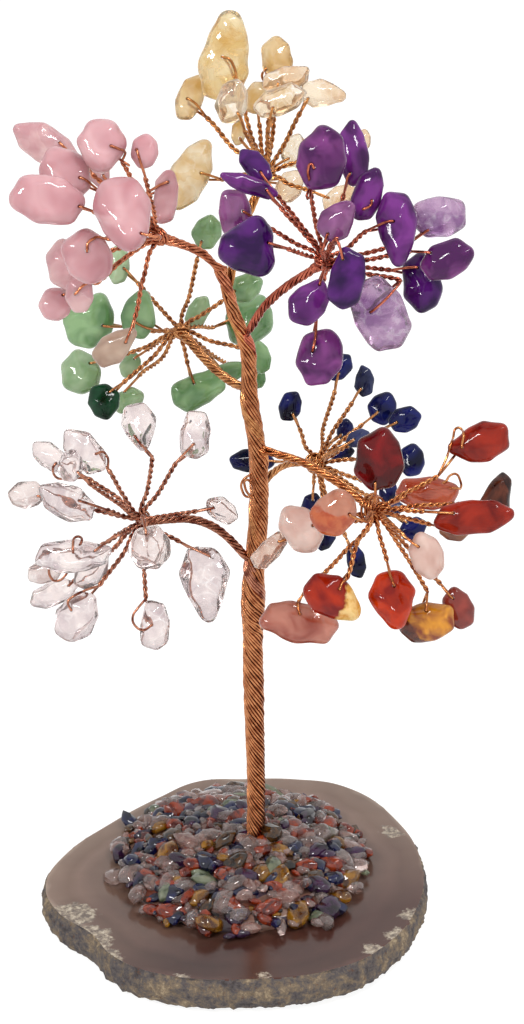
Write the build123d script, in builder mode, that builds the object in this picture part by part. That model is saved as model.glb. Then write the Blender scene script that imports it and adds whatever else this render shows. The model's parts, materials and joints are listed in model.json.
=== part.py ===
from build123d import *
from math import cos, pi, radians, sin, sqrt
from random import Random
import os

os.makedirs("parts", exist_ok=True)

# Gemstone tree: tumbled stone chips on twisted copper wire twigs, seven bundles of twigs laid up
# into one trunk, and the trunk set in a heap of small chips glued to a slice of agate.
# All sizes are millimetres. Z is up, -Y is the front, and the origin is on the underside of the
# slice below the foot of the trunk.

# How the tree is seen in its picture: 524 x 1024 picture elements, from a little above.
PIXEL_SIZE = 0.145
VIEW_DISTANCE = 450.0
VIEW_ELEVATION = 24
CENTRE_PIXEL = (262, 512)
FOOT_PIXEL = (255, 868)
# Half the depth of the crown, in picture elements like the rest of its outline.
CROWN_DEPTH_PIXELS = 138

# Slice of agate with its natural rind.
SLICE_THICKNESS = 6.2
SLICE_SIDES = 30
RIND_BULGE = 1.1
RIND_UNDERCUT = 1.6
RIND_ROUGHNESS = 0.35

# Glue bed and the heap of small chips on it.
HEAP_HALF_WIDTH = 19.8
HEAP_HALF_DEPTH = 22.2
HEAP_SHIFT_LEFT = 2.4
HEAP_SHIFT_BACK = 1.2
HEAP_HEIGHT = 5.4
HEAP_SIDES = 16
BED_RIM = 0.5
CHIP_LENGTH = 3.2
CHIP_THICKNESS = 1.9
CHIP_PLACES = 108

# Copper wire and what is laid up from it.
WIRE_DIAMETER = 0.33
TRUNK_DIAMETER = 2.9
TRUNK_LAY = 12.5
TRUNK_LOBES = 6
BRANCH_DIAMETER = 1.35
BRANCH_LAY = 9.0
BRANCH_LOBES = 4
FLUTE_DEPTH = 0.17
RINGS_PER_TURN = 7
KNOT_DIAMETER = 2.0

# Drilled stones on their loops.
BORE_DIAMETER = 0.95
LOOP_REACH = 1.3
CLEARANCE = 0.06

rng = Random(7)

# The view, and points found from picture elements.
elevation = radians(VIEW_ELEVATION)
view_forward = Vector(0, cos(elevation), -sin(elevation))
view_right = Vector(1, 0, 0)
view_up = Vector(0, sin(elevation), cos(elevation))
crown_depth = CROWN_DEPTH_PIXELS * PIXEL_SIZE


def sight(pixel):
    """Line of sight through a picture element, one view distance deep."""
    across = (pixel[0] - CENTRE_PIXEL[0]) * PIXEL_SIZE
    rise = (CENTRE_PIXEL[1] - pixel[1]) * PIXEL_SIZE
    return view_forward * VIEW_DISTANCE + view_right * across + view_up * rise


foot = Vector(0, 0, SLICE_THICKNESS)
foot_sight = sight(FOOT_PIXEL)
eye = foot - foot_sight * (VIEW_DISTANCE * cos(elevation) / foot_sight.Y)


def place(pixel, depth_share):
    """Point of the tree seen at a pixel, a share of the crown depth in front of the trunk."""
    ray = sight(pixel)
    return eye + ray * ((-depth_share * crown_depth - eye.Y) / ray.Y)


def on_level(pixel, height):
    """Point seen at a pixel on the level plane at a height."""
    ray = sight(pixel)
    return eye + ray * ((height - eye.Z) / ray.Z)


def pixel_at(point):
    """Size that one picture element covers at the depth of a point."""
    return PIXEL_SIZE * (point - eye).dot(view_forward) / VIEW_DISTANCE


# Solids from flat facets.
def flat_face(corners):
    return Face(Wire.make_polygon(corners))


def skin(rings):
    """Closed solid over rings of equal point counts, two triangles to each cell."""
    faces = [flat_face(rings[0]), flat_face(rings[-1])]
    for low, high in zip(rings, rings[1:]):
        for i in range(len(low)):
            j = (i + 1) % len(low)
            faces.append(flat_face([low[i], low[j], high[j]]))
            faces.append(flat_face([low[i], high[j], high[i]]))
    return Solid(Shell(faces))


def laid_bar(route, radius_at, lobes, lay):
    """Wires laid up left-handed along a route, as a fluted bar."""
    count = max(4, round(route.length / lay * RINGS_PER_TURN))
    reference = view_forward
    rings = []
    for k in range(count + 1):
        tangent = route % (k / count)
        reference = (reference - tangent * reference.dot(tangent)).normalized()
        side = tangent.cross(reference)
        phase = -2 * pi * k / RINGS_PER_TURN
        radius = radius_at(k / count)
        ring = []
        for i in range(2 * lobes):
            reach = radius - FLUTE_DEPTH * (i % 2)
            angle = phase + pi * i / lobes
            spoke = reference * cos(angle) + side * sin(angle)
            ring.append(route @ (k / count) + spoke * reach)
        rings.append(ring)
    return skin(rings)


SQUARE_SHARES = ((0.5, 0.5), (-0.5, 0.5), (-0.5, -0.5), (0.5, -0.5))
TRIANGLE_SHARES = ((0.0, 0.6), (-0.52, -0.3), (0.52, -0.3))


def mitred_bar(points, across, width, depth, section_shares):
    """Bar along straight runs, mitred at each corner, its width lying along across."""
    first = (points[1] - points[0]).normalized()
    side = (across - first * across.dot(first)).normalized()
    other = first.cross(side)
    ring = [points[0] + side * (width * x) + other * (depth * y) for x, y in section_shares]
    rings = [ring]
    for k in range(1, len(points)):
        run = (points[k] - points[k - 1]).normalized()
        cut = run
        if k + 1 < len(points):
            cut = run + (points[k + 1] - points[k]).normalized()
        ring = [p + run * ((points[k] - p).dot(cut) / run.dot(cut)) for p in ring]
        rings.append(ring)
    return skin(rings)


# Outlines of the chips, as shares of their width across and of their length along.
FORM_SHARES = {
    "drop": ((0.03, 0.5), (0.34, 0.14), (0.5, -0.2), (0.24, -0.5), (-0.26, -0.48), (-0.5, -0.14), (-0.3, 0.2)),
    "shield": ((-0.05, 0.5), (0.3, 0.36), (0.5, 0.02), (0.3, -0.42), (-0.12, -0.5), (-0.5, -0.2), (-0.4, 0.16)),
    "oval": ((0.1, 0.5), (0.42, 0.26), (0.5, -0.12), (0.26, -0.44), (-0.14, -0.5), (-0.46, -0.2), (-0.36, 0.32)),
    "block": ((-0.3, 0.5), (0.28, 0.46), (0.5, 0.1), (0.44, -0.36), (0.1, -0.5), (-0.4, -0.42), (-0.5, 0.06)),
    "wedge": ((-0.06, 0.5), (0.16, 0.4), (0.5, -0.34), (0.34, -0.5), (-0.34, -0.5), (-0.5, -0.36), (-0.26, 0.22)),
    "sliver": ((0.0, 0.5), (0.5, 0.2), (0.46, -0.26), (0.1, -0.5), (-0.34, -0.4), (-0.5, 0.0), (-0.38, 0.32)),
    "bean": ((-0.2, 0.5), (0.26, 0.44), (0.5, 0.16), (0.5, -0.2), (0.16, -0.5), (-0.3, -0.42), (-0.5, 0.04)),
}
CAP_SHARE = 0.56
THICKNESS_SHARE = 0.62

# Each stone: outline, the pixel of its centre, its length and width in pixels, how many degrees
# its long axis is turned clockwise in the picture, how many degrees its upper end leans forward,
# the pixel of its bore, and its place in front of the trunk as a share of the crown depth.
STONES_PIXELS_AND_SHARES = {
    "amethyst_stones_top": (
        ("shield", (322, 158), 66, 50, 8, 10, (314, 167), 0.66),
        ("oval", (353, 153), 68, 32, -5, -8, (350, 175), 0.26),
        ("oval", (367, 194), 56, 32, 15, 12, (372, 200), 0.56),
        ("drop", (338, 220), 46, 36, 40, 15, (329, 233), 0.84),
    ),
    "amethyst_stones_right": (
        ("drop", (397, 229), 78, 42, 178, 12, (393, 225), 0.72),
        ("block", (440, 217), 55, 42, 80, -10, (427, 231), 0.4),
        ("oval", (447, 259), 56, 40, 65, 10, (431, 253), 0.74),
        ("oval", (421, 283), 62, 42, -8, -12, (417, 271), 0.46),
    ),
    "amethyst_stones_front": (
        ("block", (347, 279), 62, 36, 15, 14, (343, 258), 1.12),
        ("shield", (309, 302), 54, 38, 35, -15, (318, 287), 0.98),
    ),
    "amethyst_stones_bottom": (
        ("block", (380, 314), 78, 54, -28, 10, (369, 311), 0.78),
        ("oval", (319, 357), 60, 49, 10, -10, (312, 354), 0.82),
    ),
    "amethyst_stones_left": (
        ("block", (235, 213), 48, 33, -5, 8, (243, 211), 0.42),
        ("wedge", (246, 247), 58, 62, -95, 10, (266, 244), 0.82),
        ("sliver", (255, 165), 46, 24, -42, -20, (262, 174), 0.3),
        ("sliver", (249, 185), 62, 19, -70, 10, (266, 190), 0.52),
    ),
    "rose_quartz_stones_top": (
        ("drop", (102, 146), 56, 50, 176, 10, (112, 150), 0.46),
        ("oval", (144, 151), 36, 29, 0, -12, (137, 152), 0.4),
        ("oval", (96, 168), 40, 26, -20, 12, (103, 175), -0.14),
    ),
    "rose_quartz_stones_left": (
        ("sliver", (46, 145), 74, 38, -60, 8, (59, 143), 0.02),
        ("oval", (65, 173), 60, 50, -35, -10, (82, 181), 0.4),
        ("bean", (47, 200), 76, 50, -78, 10, (78, 207), 0.72),
    ),
    "rose_quartz_stones_front": (
        ("drop", (124, 214), 78, 58, 165, 12, (142, 236), 0.9),
        ("oval", (165, 197), 56, 26, 5, -10, (168, 184), -0.08),
    ),
    "rose_quartz_stones_lower": (
        ("oval", (87, 257), 56, 50, -20, 10, (87, 250), 0.7),
        ("oval", (66, 265), 54, 44, -20, -8, (82, 258), 0.22),
        ("oval", (79, 294), 38, 30, 5, 10, (76, 293), 0.48),
    ),
    "rose_quartz_stones_bottom": (
        ("oval", (55, 304), 35, 34, 20, -10, (63, 297), 0.2),
        ("drop", (116, 346), 52, 31, 50, 10, (127, 342), 0.42),
    ),
    "citrine_stones_top": (
        ("drop", (225, 56), 94, 52, 9, 8, (232, 74), -0.36),
        ("oval", (190, 97), 50, 28, 20, -10, (196, 106), -0.5),
    ),
    "citrine_stones_right": (
        ("oval", (276, 58), 46, 33, -10, -10, (273, 71), -0.72),
        ("bean", (286, 79), 50, 26, 78, 10, (279, 84), -0.42),
        ("drop", (323, 94), 48, 30, 97, -10, (307, 99), -0.42),
    ),
    "citrine_stones_front": (
        ("oval", (231, 101), 46, 34, 10, 14, (238, 112), -0.06),
        ("oval", (280, 100), 56, 30, 68, 10, (274, 108), -0.14),
        ("oval", (257, 97), 36, 28, 30, -8, (257, 106), -0.7),
    ),
    "citrine_stones_left": (
        ("sliver", (190, 174), 80, 40, 28, -12, (200, 176), -0.62),
        ("oval", (238, 133), 25, 15, 0, 10, (240, 138), -0.74),
    ),
    "citrine_stones_lower": (
        ("oval", (294, 151), 36, 27, 10, 12, (289, 158), -0.62),
        ("oval", (289, 186), 36, 28, 20, -10, (284, 181), -0.52),
        ("bean", (339, 197), 38, 22, 60, 10, (329, 198), -0.34),
        ("oval", (361, 141), 26, 20, 10, -10, (355, 146), -0.4),
    ),
    "aventurine_stones_upper": (
        ("shield", (207, 232), 36, 30, 20, 10, (202, 241), -0.5),
        ("oval", (118, 264), 42, 24, 0, -12, (124, 270), -0.66),
        ("drop", (139, 314), 50, 36, 10, 14, (136, 320), -0.4),
    ),
    "aventurine_stones_left": (
        ("shield", (90, 320), 60, 50, 30, 8, (104, 325), -0.56),
        ("oval", (79, 372), 46, 43, -20, -10, (91, 365), -0.72),
        ("oval", (130, 365), 28, 22, 20, 10, (135, 358), -0.98),
    ),
    "aventurine_stones_behind": (
        ("shield", (250, 320), 58, 48, 30, -10, (232, 320), -1.02),
        ("oval", (246, 287), 36, 30, 60, 10, (236, 291), -0.62),
        ("sliver", (198, 312), 36, 22, 30, 8, (194, 318), -0.92),
    ),
    "aventurine_stones_right": (
        ("oval", (260, 357), 34, 22, -15, 12, (254, 352), -0.66),
        ("oval", (257, 378), 22, 18, 0, -10, (255, 375), -1.14),
        ("sliver", (231, 371), 34, 19, 82, 10, (222, 370), -0.72),
    ),
    "aventurine_stones_bottom": (
        ("block", (199, 390), 58, 34, 65, -8, (193, 384), -0.54),
        ("shield", (104, 402), 37, 33, 175, 10, (110, 394), -0.38),
        ("oval", (128, 400), 34, 24, 60, -10, (124, 392), -0.84),
    ),
    "clear_quartz_stones_top": (
        ("drop", (140, 427), 49, 36, 166, 10, (135, 437), 0.38),
        ("block", (195, 435), 50, 31, 5, -12, (194, 446), 0.28),
        ("sliver", (84, 451), 56, 33, -42, 8, (96, 453), 0.42),
    ),
    "clear_quartz_stones_left": (
        ("sliver", (49, 456), 42, 25, -50, -10, (57, 464), 0.1),
        ("oval", (70, 465), 34, 27, 10, 12, (78, 471), 0.72),
        ("oval", (27, 494), 38, 29, 80, -8, (37, 496), 0.24),
        ("oval", (66, 502), 62, 38, -66, 10, (78, 500), 0.56),
    ),
    "clear_quartz_stones_front": (
        ("oval", (149, 547), 46, 45, 10, -10, (146, 536), 0.98),
        ("sliver", (222, 510), 36, 24, -56, 10, (213, 507), 0.5),
    ),
    "clear_quartz_stones_lower": (
        ("bean", (73, 556), 78, 34, 88, 8, (96, 551), 0.76),
        ("oval", (91, 570), 44, 30, 40, -10, (101, 560), 0.46),
        ("sliver", (46, 571), 40, 24, 70, 10, (58, 566), 0.3),
        ("sliver", (54, 593), 52, 25, 70, -10, (68, 586), 0.02),
    ),
    "clear_quartz_stones_bottom": (
        ("oval", (77, 616), 56, 44, 38, 10, (73, 608), 0.62),
        ("block", (155, 625), 50, 30, 2, -8, (152, 626), 0.48),
        ("drop", (206, 584), 78, 51, 172, 10, (210, 558), 0.6),
    ),
    "carnelian_stones_top": (
        ("oval", (378, 459), 65, 53, 0, 10, (375, 481), 0.74),
        ("drop", (479, 443), 64, 41, -105, -10, (463, 447), 0.62),
        ("bean", (427, 493), 64, 34, 95, 12, (407, 496), 0.42),
    ),
    "carnelian_stones_right": (
        ("sliver", (474, 517), 82, 35, 85, 8, (454, 513), 0.84),
        ("wedge", (500, 494), 46, 34, 20, -10, (490, 503), 0.6),
        ("sliver", (455, 531), 32, 21, 90, 10, (449, 530), 0.52),
    ),
    "carnelian_stones_left": (
        ("shield", (334, 512), 50, 46, 20, 14, (350, 512), 1.02),
        ("oval", (300, 529), 54, 42, -45, -10, (314, 527), 0.66),
        ("block", (269, 551), 44, 22, 45, 10, (279, 541), 0.36),
    ),
    "carnelian_stones_lower": (
        ("drop", (334, 598), 64, 44, 122, -10, (338, 588), 0.94),
        ("drop", (393, 600), 60, 48, 170, 10, (394, 588), 0.86),
        ("oval", (426, 556), 50, 36, -28, 12, (417, 545), 1.1),
    ),
    "carnelian_stones_bottom": (
        ("bean", (299, 623), 80, 42, -78, 8, (298, 613), 0.56),
        ("block", (427, 622), 58, 40, 80, -10, (424, 611), 0.7),
        ("oval", (458, 608), 44, 32, -20, 10, (452, 597), 0.52),
    ),
    "sodalite_stones_top": (
        ("oval", (290, 406), 32, 24, 20, 10, (293, 413), -0.62),
        ("sliver", (340, 367), 32, 22, 40, -10, (338, 374), -0.5),
        ("shield", (364, 381), 32, 21, -5, 10, (361, 388), -0.72),
    ),
    "sodalite_stones_upper": (
        ("shield", (383, 408), 34, 30, 30, -8, (377, 413), -0.72),
        ("oval", (405, 419), 34, 27, 70, 12, (398, 422), -0.42),
    ),
    "sodalite_stones_middle": (
        ("oval", (345, 430), 24, 19, 0, 10, (341, 434), -0.98),
        ("oval", (358, 438), 26, 18, 60, -10, (353, 440), -0.28),
        ("sliver", (342, 453), 26, 16, 80, 8, (336, 454), -0.82),
        ("oval", (411, 460), 34, 28, 0, -10, (403, 461), -0.56),
    ),
    "sodalite_stones_left": (
        ("oval", (252, 460), 46, 25, 88, 10, (267, 461), -0.8),
        ("oval", (311, 507), 30, 22, 10, 12, (313, 499), -0.66),
        ("sliver", (326, 538), 28, 18, 30, -10, (328, 530), -0.44),
    ),
    "sodalite_stones_lower": (
        ("sliver", (356, 561), 36, 19, -10, 10, (352, 552), -0.44),
        ("oval", (388, 491), 24, 20, 0, -10, (382, 488), -0.48),
        ("sliver", (391, 509), 28, 17, 80, 10, (384, 507), -0.84),
        ("oval", (413, 528), 30, 23, 60, -8, (406, 523), -0.62),
    ),
}

# Twigs that come to their stone from aside, by the pixel of the stone's centre and of the twig's end.
TWIG_END_PIXELS = {
    (322, 158): (310, 187),
    (367, 194): (357, 211),
    (397, 229): (374, 229),
    (440, 217): (413, 240),
    (447, 259): (407, 251),
    (380, 314): (394, 289),
    (347, 279): (338, 245),
    (165, 197): (152, 191),
    (102, 146): (122, 161),
    (87, 257): (107, 239),
    (79, 294): (95, 284),
    (77, 616): (99, 586),
    (299, 623): (306, 593),
    (427, 622): (429, 598),
    (334, 598): (346, 580),
    (479, 443): (438, 476),
    (140, 427): (146, 451),
    (195, 435): (182, 461),
}

# Routes of the branches: how far up the trunk each starts, then a bend and its knot as pixels
# with depth shares, and the width of each as a share of the branch diameter.
BRANCH_START_SHARES = {
    "rose_quartz": 1.0,
    "amethyst": 0.885,
    "citrine": 0.96,
    "aventurine": 0.8,
    "clear_quartz": 0.525,
    "carnelian": 0.71,
    "sodalite": 0.65,
}
BRANCH_PIXELS_AND_SHARES = {
    "rose_quartz": (((200, 252), 0.1), ((160, 237), 0.25)),
    "amethyst": (((268, 303), 0.2), ((324, 262), 0.5)),
    "citrine": (((240, 236), -0.16), ((266, 174), -0.36)),
    "aventurine": (((216, 370), -0.26), ((181, 331), -0.6)),
    "clear_quartz": (((203, 522), 0.16), ((142, 521), 0.36)),
    "carnelian": (((304, 463), 0.22), ((374, 509), 0.6)),
    "sodalite": (((281, 467), -0.24), ((315, 463), -0.6)),
}
BRANCH_WIDTH_SHARES = {
    "rose_quartz": 1.0,
    "amethyst": 0.95,
    "citrine": 0.95,
    "aventurine": 1.05,
    "clear_quartz": 0.95,
    "carnelian": 0.9,
    "sodalite": 0.8,
}
TRUNK_ROUTE_PIXELS = (
    (255, 868), (256, 782), (254, 701), (253, 632), (254, 575), (259, 506), (257, 448),
    (250, 400), (247, 350), (233, 310), (220, 268),
)
TRUNK_WIDTH_SHARES = (1.0, 0.97, 0.98, 1.06, 1.04, 1.08, 0.98, 0.92, 0.84, 0.68, 0.5)

# Rim of the polished face of the slice, clockwise in the picture from its back.
SLICE_RIM_PIXELS = (
    (245, 779), (292, 779), (343, 786), (398, 822), (422, 868), (418, 905), (388, 943), (344, 966),
    (252, 979), (152, 972), (112, 955), (92, 934), (58, 912), (46, 884), (66, 854), (108, 825),
    (160, 797), (200, 781),
)

wire_pair = 2 * WIRE_DIAMETER
slice_top = SLICE_THICKNESS


# Agate slice: polished top, bulging rough rind, smaller flat underside.
def rim_point(share, out, height):
    """Point of the rim moved outwards from the middle of the face, at a height."""
    point = rim @ share
    spoke = (point - rim_middle).normalized()
    return Vector(point.X, point.Y, height) + spoke * out


rim = Spline([on_level(pixel, slice_top) for pixel in SLICE_RIM_PIXELS], periodic=True)
rim_middle = rim.center(CenterOf.BOUNDING_BOX)
levels = (
    (0, -RIND_UNDERCUT),
    (slice_top * 0.3, RIND_BULGE * 0.6),
    (slice_top * 0.66, RIND_BULGE),
    (slice_top, 0),
)
slice_rings = []
for height, out in levels:
    ring = []
    for i in range(SLICE_SIDES):
        rough = rng.uniform(-RIND_ROUGHNESS, RIND_ROUGHNESS) if out > 0 else 0
        ring.append(rim_point(i / SLICE_SIDES, out + rough, height))
    slice_rings.append(ring)
with BuildPart() as agate_slice:
    add(skin(slice_rings))
agate_slice.part.label = "agate_slice"
export_step(agate_slice.part, "parts/agate_slice.step")


# Glue bed: a low dome under the chips, bored for the trunk.
def heap_point(angle, share):
    """Point of the bed's top, at an angle and a share of the way out from its middle."""
    across = HEAP_HALF_WIDTH * share * cos(angle) - HEAP_SHIFT_LEFT
    back = HEAP_HALF_DEPTH * share * sin(angle) + HEAP_SHIFT_BACK
    level = BED_RIM + (HEAP_HEIGHT - BED_RIM) * (1 - share**2)
    return Vector(across, back, slice_top + level)


trunk_radius = TRUNK_DIAMETER / 2
bed_points = []
for ring_share in (1.0, 0.75, 0.45, 0.2):
    for i in range(HEAP_SIDES):
        spot = heap_point(2 * pi * i / HEAP_SIDES, ring_share)
        bed_points.append(spot)
        if ring_share == 1:
            bed_points.append(Vector(spot.X, spot.Y, slice_top))
with BuildPart() as glue_bed:
    ConvexPolyhedron(bed_points)
    with BuildSketch(Plane.XY.offset(slice_top)):
        RegularPolygon(trunk_radius + CLEARANCE, HEAP_SIDES, major_radius=False)
    extrude(amount=HEAP_HEIGHT * 2, mode=Mode.SUBTRACT)
glue_bed.part.label = "glue_bed"
export_step(glue_bed.part, "parts/glue_bed.step")

# Chips of the heap, on a golden-angle spiral so that none meet, in eight kinds of stone.
CHIP_ORDER = (
    "clear_quartz", "carnelian", "sodalite", "clear_quartz", "citrine", "rose_quartz", "tiger_eye",
    "carnelian", "sodalite", "amethyst", "clear_quartz", "aventurine", "carnelian",
)
GOLDEN_ANGLE = pi * (3 - sqrt(5))
CHIP_RIM_POINTS = 5
chip_blocks = {kind: [] for kind in CHIP_ORDER}
trunk_room = trunk_radius + CHIP_LENGTH / 2 + CLEARANCE
for k in range(CHIP_PLACES):
    seat = heap_point(GOLDEN_ANGLE * k, sqrt((k + 0.5) / CHIP_PLACES)) + Vector(0, 0, CLEARANCE)
    if Vector(seat.X, seat.Y).length < trunk_room:
        continue
    fall = 2 * (HEAP_HEIGHT - BED_RIM)
    lean = (seat.X + HEAP_SHIFT_LEFT) * fall / HEAP_HALF_WIDTH**2
    tilt = (seat.Y - HEAP_SHIFT_BACK) * fall / HEAP_HALF_DEPTH**2
    normal = Vector(lean, tilt, 1).normalized()
    along = (view_right - normal * view_right.dot(normal)).normalized()
    side = normal.cross(along)
    middle = seat + normal * (CHIP_THICKNESS / 2)
    turn = rng.uniform(0, pi)
    points = [seat, seat + normal * CHIP_THICKNESS * rng.uniform(0.85, 1.15)]
    for i in range(CHIP_RIM_POINTS):
        angle = turn + 2 * pi * (i + rng.uniform(-0.2, 0.2)) / CHIP_RIM_POINTS
        reach = CHIP_LENGTH / 2 * rng.uniform(0.78, 1.0)
        lift = normal * (CHIP_THICKNESS * rng.uniform(-0.2, 0.25))
        points.append(middle + lift + (along * cos(angle) + side * sin(angle)) * reach)
    chip_blocks[CHIP_ORDER[k % len(CHIP_ORDER)]].append(points)
for kind, chips in chip_blocks.items():
    with BuildPart() as gravel:
        for points in chips:
            ConvexPolyhedron(points)
    gravel.part.label = f"gravel_{kind}"
    export_step(gravel.part, f"parts/gravel_{kind}.step")


# Trunk: all the wires laid up left-handed, standing on the slice.
def between(values, share):
    """Value at a share of the way along a row of values."""
    spot = share * (len(values) - 1)
    low = min(int(spot), len(values) - 2)
    return values[low] + (values[low + 1] - values[low]) * (spot - low)


def trunk_radius_at(share):
    return trunk_radius * between(TRUNK_WIDTH_SHARES, share)


trunk_points = [place(pixel, 0) for pixel in TRUNK_ROUTE_PIXELS]
top_run = trunk_points[-1] - trunk_points[-2]
trunk_route = Spline(trunk_points, tangents=[(0, 0, 1), top_run])
with BuildPart() as trunk:
    add(laid_bar(trunk_route, trunk_radius_at, TRUNK_LOBES, TRUNK_LAY))
trunk.part.label = "trunk"
export_step(trunk.part, "parts/trunk.step")

# Branches: each a bundle that leaves the trunk and ends in the knot where its twigs spread.
# The rose quartz branch carries on from the top of the trunk, the others lie against its side.
SADDLE_SIDES = 12
KNOT_START_SHARE = 0.86
knots = {}
knot_runs = {}
for gem, start_share in BRANCH_START_SHARES.items():
    points = [trunk_route @ start_share]
    points += [place(pixel, share) for pixel, share in BRANCH_PIXELS_AND_SHARES[gem]]
    knots[gem] = points[-1]
    knot_runs[gem] = (points[-2] - points[-1]).normalized()
    tops_trunk = start_share == 1
    first_run = top_run if tops_trunk else points[1] - points[0]
    route = Spline(points, tangents=[first_run, points[-1] - points[-2]])
    radius = BRANCH_DIAMETER / 2 * BRANCH_WIDTH_SHARES[gem]

    def branch_radius_at(share):
        if share < KNOT_START_SHARE:
            return radius
        return KNOT_DIAMETER / 2 * (1 - 0.5 * (share - KNOT_START_SHARE) / (1 - KNOT_START_SHARE))

    with BuildPart() as branch:
        add(laid_bar(route, branch_radius_at, BRANCH_LOBES, BRANCH_LAY))
        if not tops_trunk:
            tool_radius = trunk_radius_at(start_share) + CLEARANCE
            with BuildSketch(Plane(origin=points[0], z_dir=trunk_route % start_share)):
                RegularPolygon(tool_radius, SADDLE_SIDES, major_radius=False)
            extrude(amount=TRUNK_LAY, both=True, mode=Mode.SUBTRACT)
    branch.part.label = f"{gem}_branch"
    export_step(branch.part, f"parts/{gem}_branch.step")


# Stones and twigs.
class Gem:
    """Where one stone lies: its centre, its three axes, its corners and its bore."""

    def __init__(self, row):
        form, centre, length, width, turn, lean, bore, depth_share = row
        self.centre = place(centre, depth_share)
        unit = pixel_at(self.centre)
        length, width = length * unit, width * unit
        self.thickness = width * THICKNESS_SHARE
        upright = view_up * cos(radians(turn)) + view_right * sin(radians(turn))
        self.along = (upright * cos(radians(lean)) - view_forward * sin(radians(lean))).normalized()
        self.across = self.along.cross(view_forward).normalized() * -1
        self.out = self.across.cross(self.along).normalized()
        if self.out.dot(view_forward) > 0:
            self.out = self.out * -1
        sight_line = (place(bore, depth_share) - eye).normalized()
        reach = (self.centre - eye).dot(self.out) / sight_line.dot(self.out)
        self.bore = eye + sight_line * reach
        self.twig_side = None
        if centre in TWIG_END_PIXELS:
            self.twig_side = place(TWIG_END_PIXELS[centre], depth_share)
        self.corners = []
        shares = FORM_SHARES[form]
        for i, (across, along) in enumerate(shares):
            flat = self.across * (across * width) + self.along * (along * length)
            lift = self.out * (self.thickness * rng.uniform(-0.12, 0.12))
            self.corners.append(self.centre + flat + lift)
            cap = self.out * (self.thickness / 2 * rng.uniform(0.86, 1.0))
            if i % 2 == 0:
                self.corners.append(self.centre + flat * CAP_SHARE + cap)
            if i % 2 == 1:
                self.corners.append(self.centre + flat * CAP_SHARE - cap)

    def model(self):
        """The stone and its drilled bore, in the block that is open."""
        ConvexPolyhedron(self.corners)
        with BuildSketch(Plane(origin=self.bore, x_dir=self.along, z_dir=self.out)) as bore:
            RegularPolygon(BORE_DIAMETER / 2, BORE_SIDES)
        extrude(bore.sketch, amount=self.thickness, both=True, mode=Mode.SUBTRACT)


BORE_SIDES = 4
NECK_LENGTH = 0.8
PAIR_GAP = 0.02
pair_width = 2 * WIRE_DIAMETER + 4 * PAIR_GAP
pair_depth = WIRE_DIAMETER * 1.4
pair_room = sqrt(pair_width**2 + pair_depth**2) + CLEARANCE
# A loop wider than this share of its stone is bent square over the stone's edge instead.
SLACK_SHARE = 0.9


def twig_start(knot, toward, others):
    """Distance from the knot at which a twig is clear of the twigs already there."""
    start = KNOT_DIAMETER / 2 + CLEARANCE
    for other, room in others:
        angle = toward.get_angle(other)
        if angle < 90:
            start = max(start, room / sin(radians(angle)))
    return start


def twig_bars(gem, knot, others):
    """Twisted pair from a knot to the edge of its stone, and the loop through the stone's bore."""
    home = (gem.twig_side or knot) - gem.bore
    away = (home - gem.out * home.dot(gem.out)).normalized()
    edge = max((corner - gem.bore).dot(away) for corner in gem.corners)
    tip = edge + LOOP_REACH
    height = gem.thickness / 2
    for corner in gem.corners:
        spot = corner - gem.bore
        ahead = spot.dot(away)
        if ahead > 0:
            room = abs(spot.dot(gem.out)) + WIRE_DIAMETER
            height = max(height, room / (1 - ahead / tip))
    lay_out = gem.out * ((WIRE_DIAMETER + PAIR_GAP) / 2)
    neck = gem.bore + away * tip
    inside = neck + (knot - neck).normalized() * NECK_LENGTH
    bends = [gem.bore + gem.out * height, gem.bore - gem.out * height]
    if height > gem.thickness * SLACK_SHARE:
        shoulder = gem.out * (gem.thickness / 2 + WIRE_DIAMETER)
        past = gem.bore + away * (edge + WIRE_DIAMETER)
        bends = [past + shoulder, gem.bore + shoulder, gem.bore - shoulder, past - shoulder]
    toward = (neck - knot).normalized()
    start = twig_start(knot, toward, others)
    others.append((toward, pair_room))
    run = [neck, knot + toward * start]
    stem = mitred_bar(run, gem.out, pair_width, pair_depth, SQUARE_SHARES)
    run = [inside + lay_out, *bends, inside - lay_out]
    loop = mitred_bar(run, gem.out.cross(away), WIRE_DIAMETER, WIRE_DIAMETER, TRIANGLE_SHARES)
    return stem, loop


gems = {}
for name, rows in STONES_PIXELS_AND_SHARES.items():
    gems[name] = [Gem(row) for row in rows]
    with BuildPart() as stones:
        for gem in gems[name]:
            gem.model()
    stones.part.label = name
    export_step(stones.part, f"parts/{name}.step")

for kind, knot in knots.items():
    others = [(knot_runs[kind], BRANCH_DIAMETER / 2 + pair_room)]
    bars = []
    for name in gems:
        if name.startswith(kind):
            for gem in gems[name]:
                bars += twig_bars(gem, knot, others)
    with BuildPart() as twigs:
        add(bars)
    twigs.part.label = f"{kind}_twigs"
    export_step(twigs.part, f"parts/{kind}_twigs.step")
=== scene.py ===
import json
from math import atan2, cos, hypot, pi, radians, sin
from random import Random

import bpy
from mathutils import Matrix, Vector, noise
from mathutils.bvhtree import BVHTree

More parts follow.
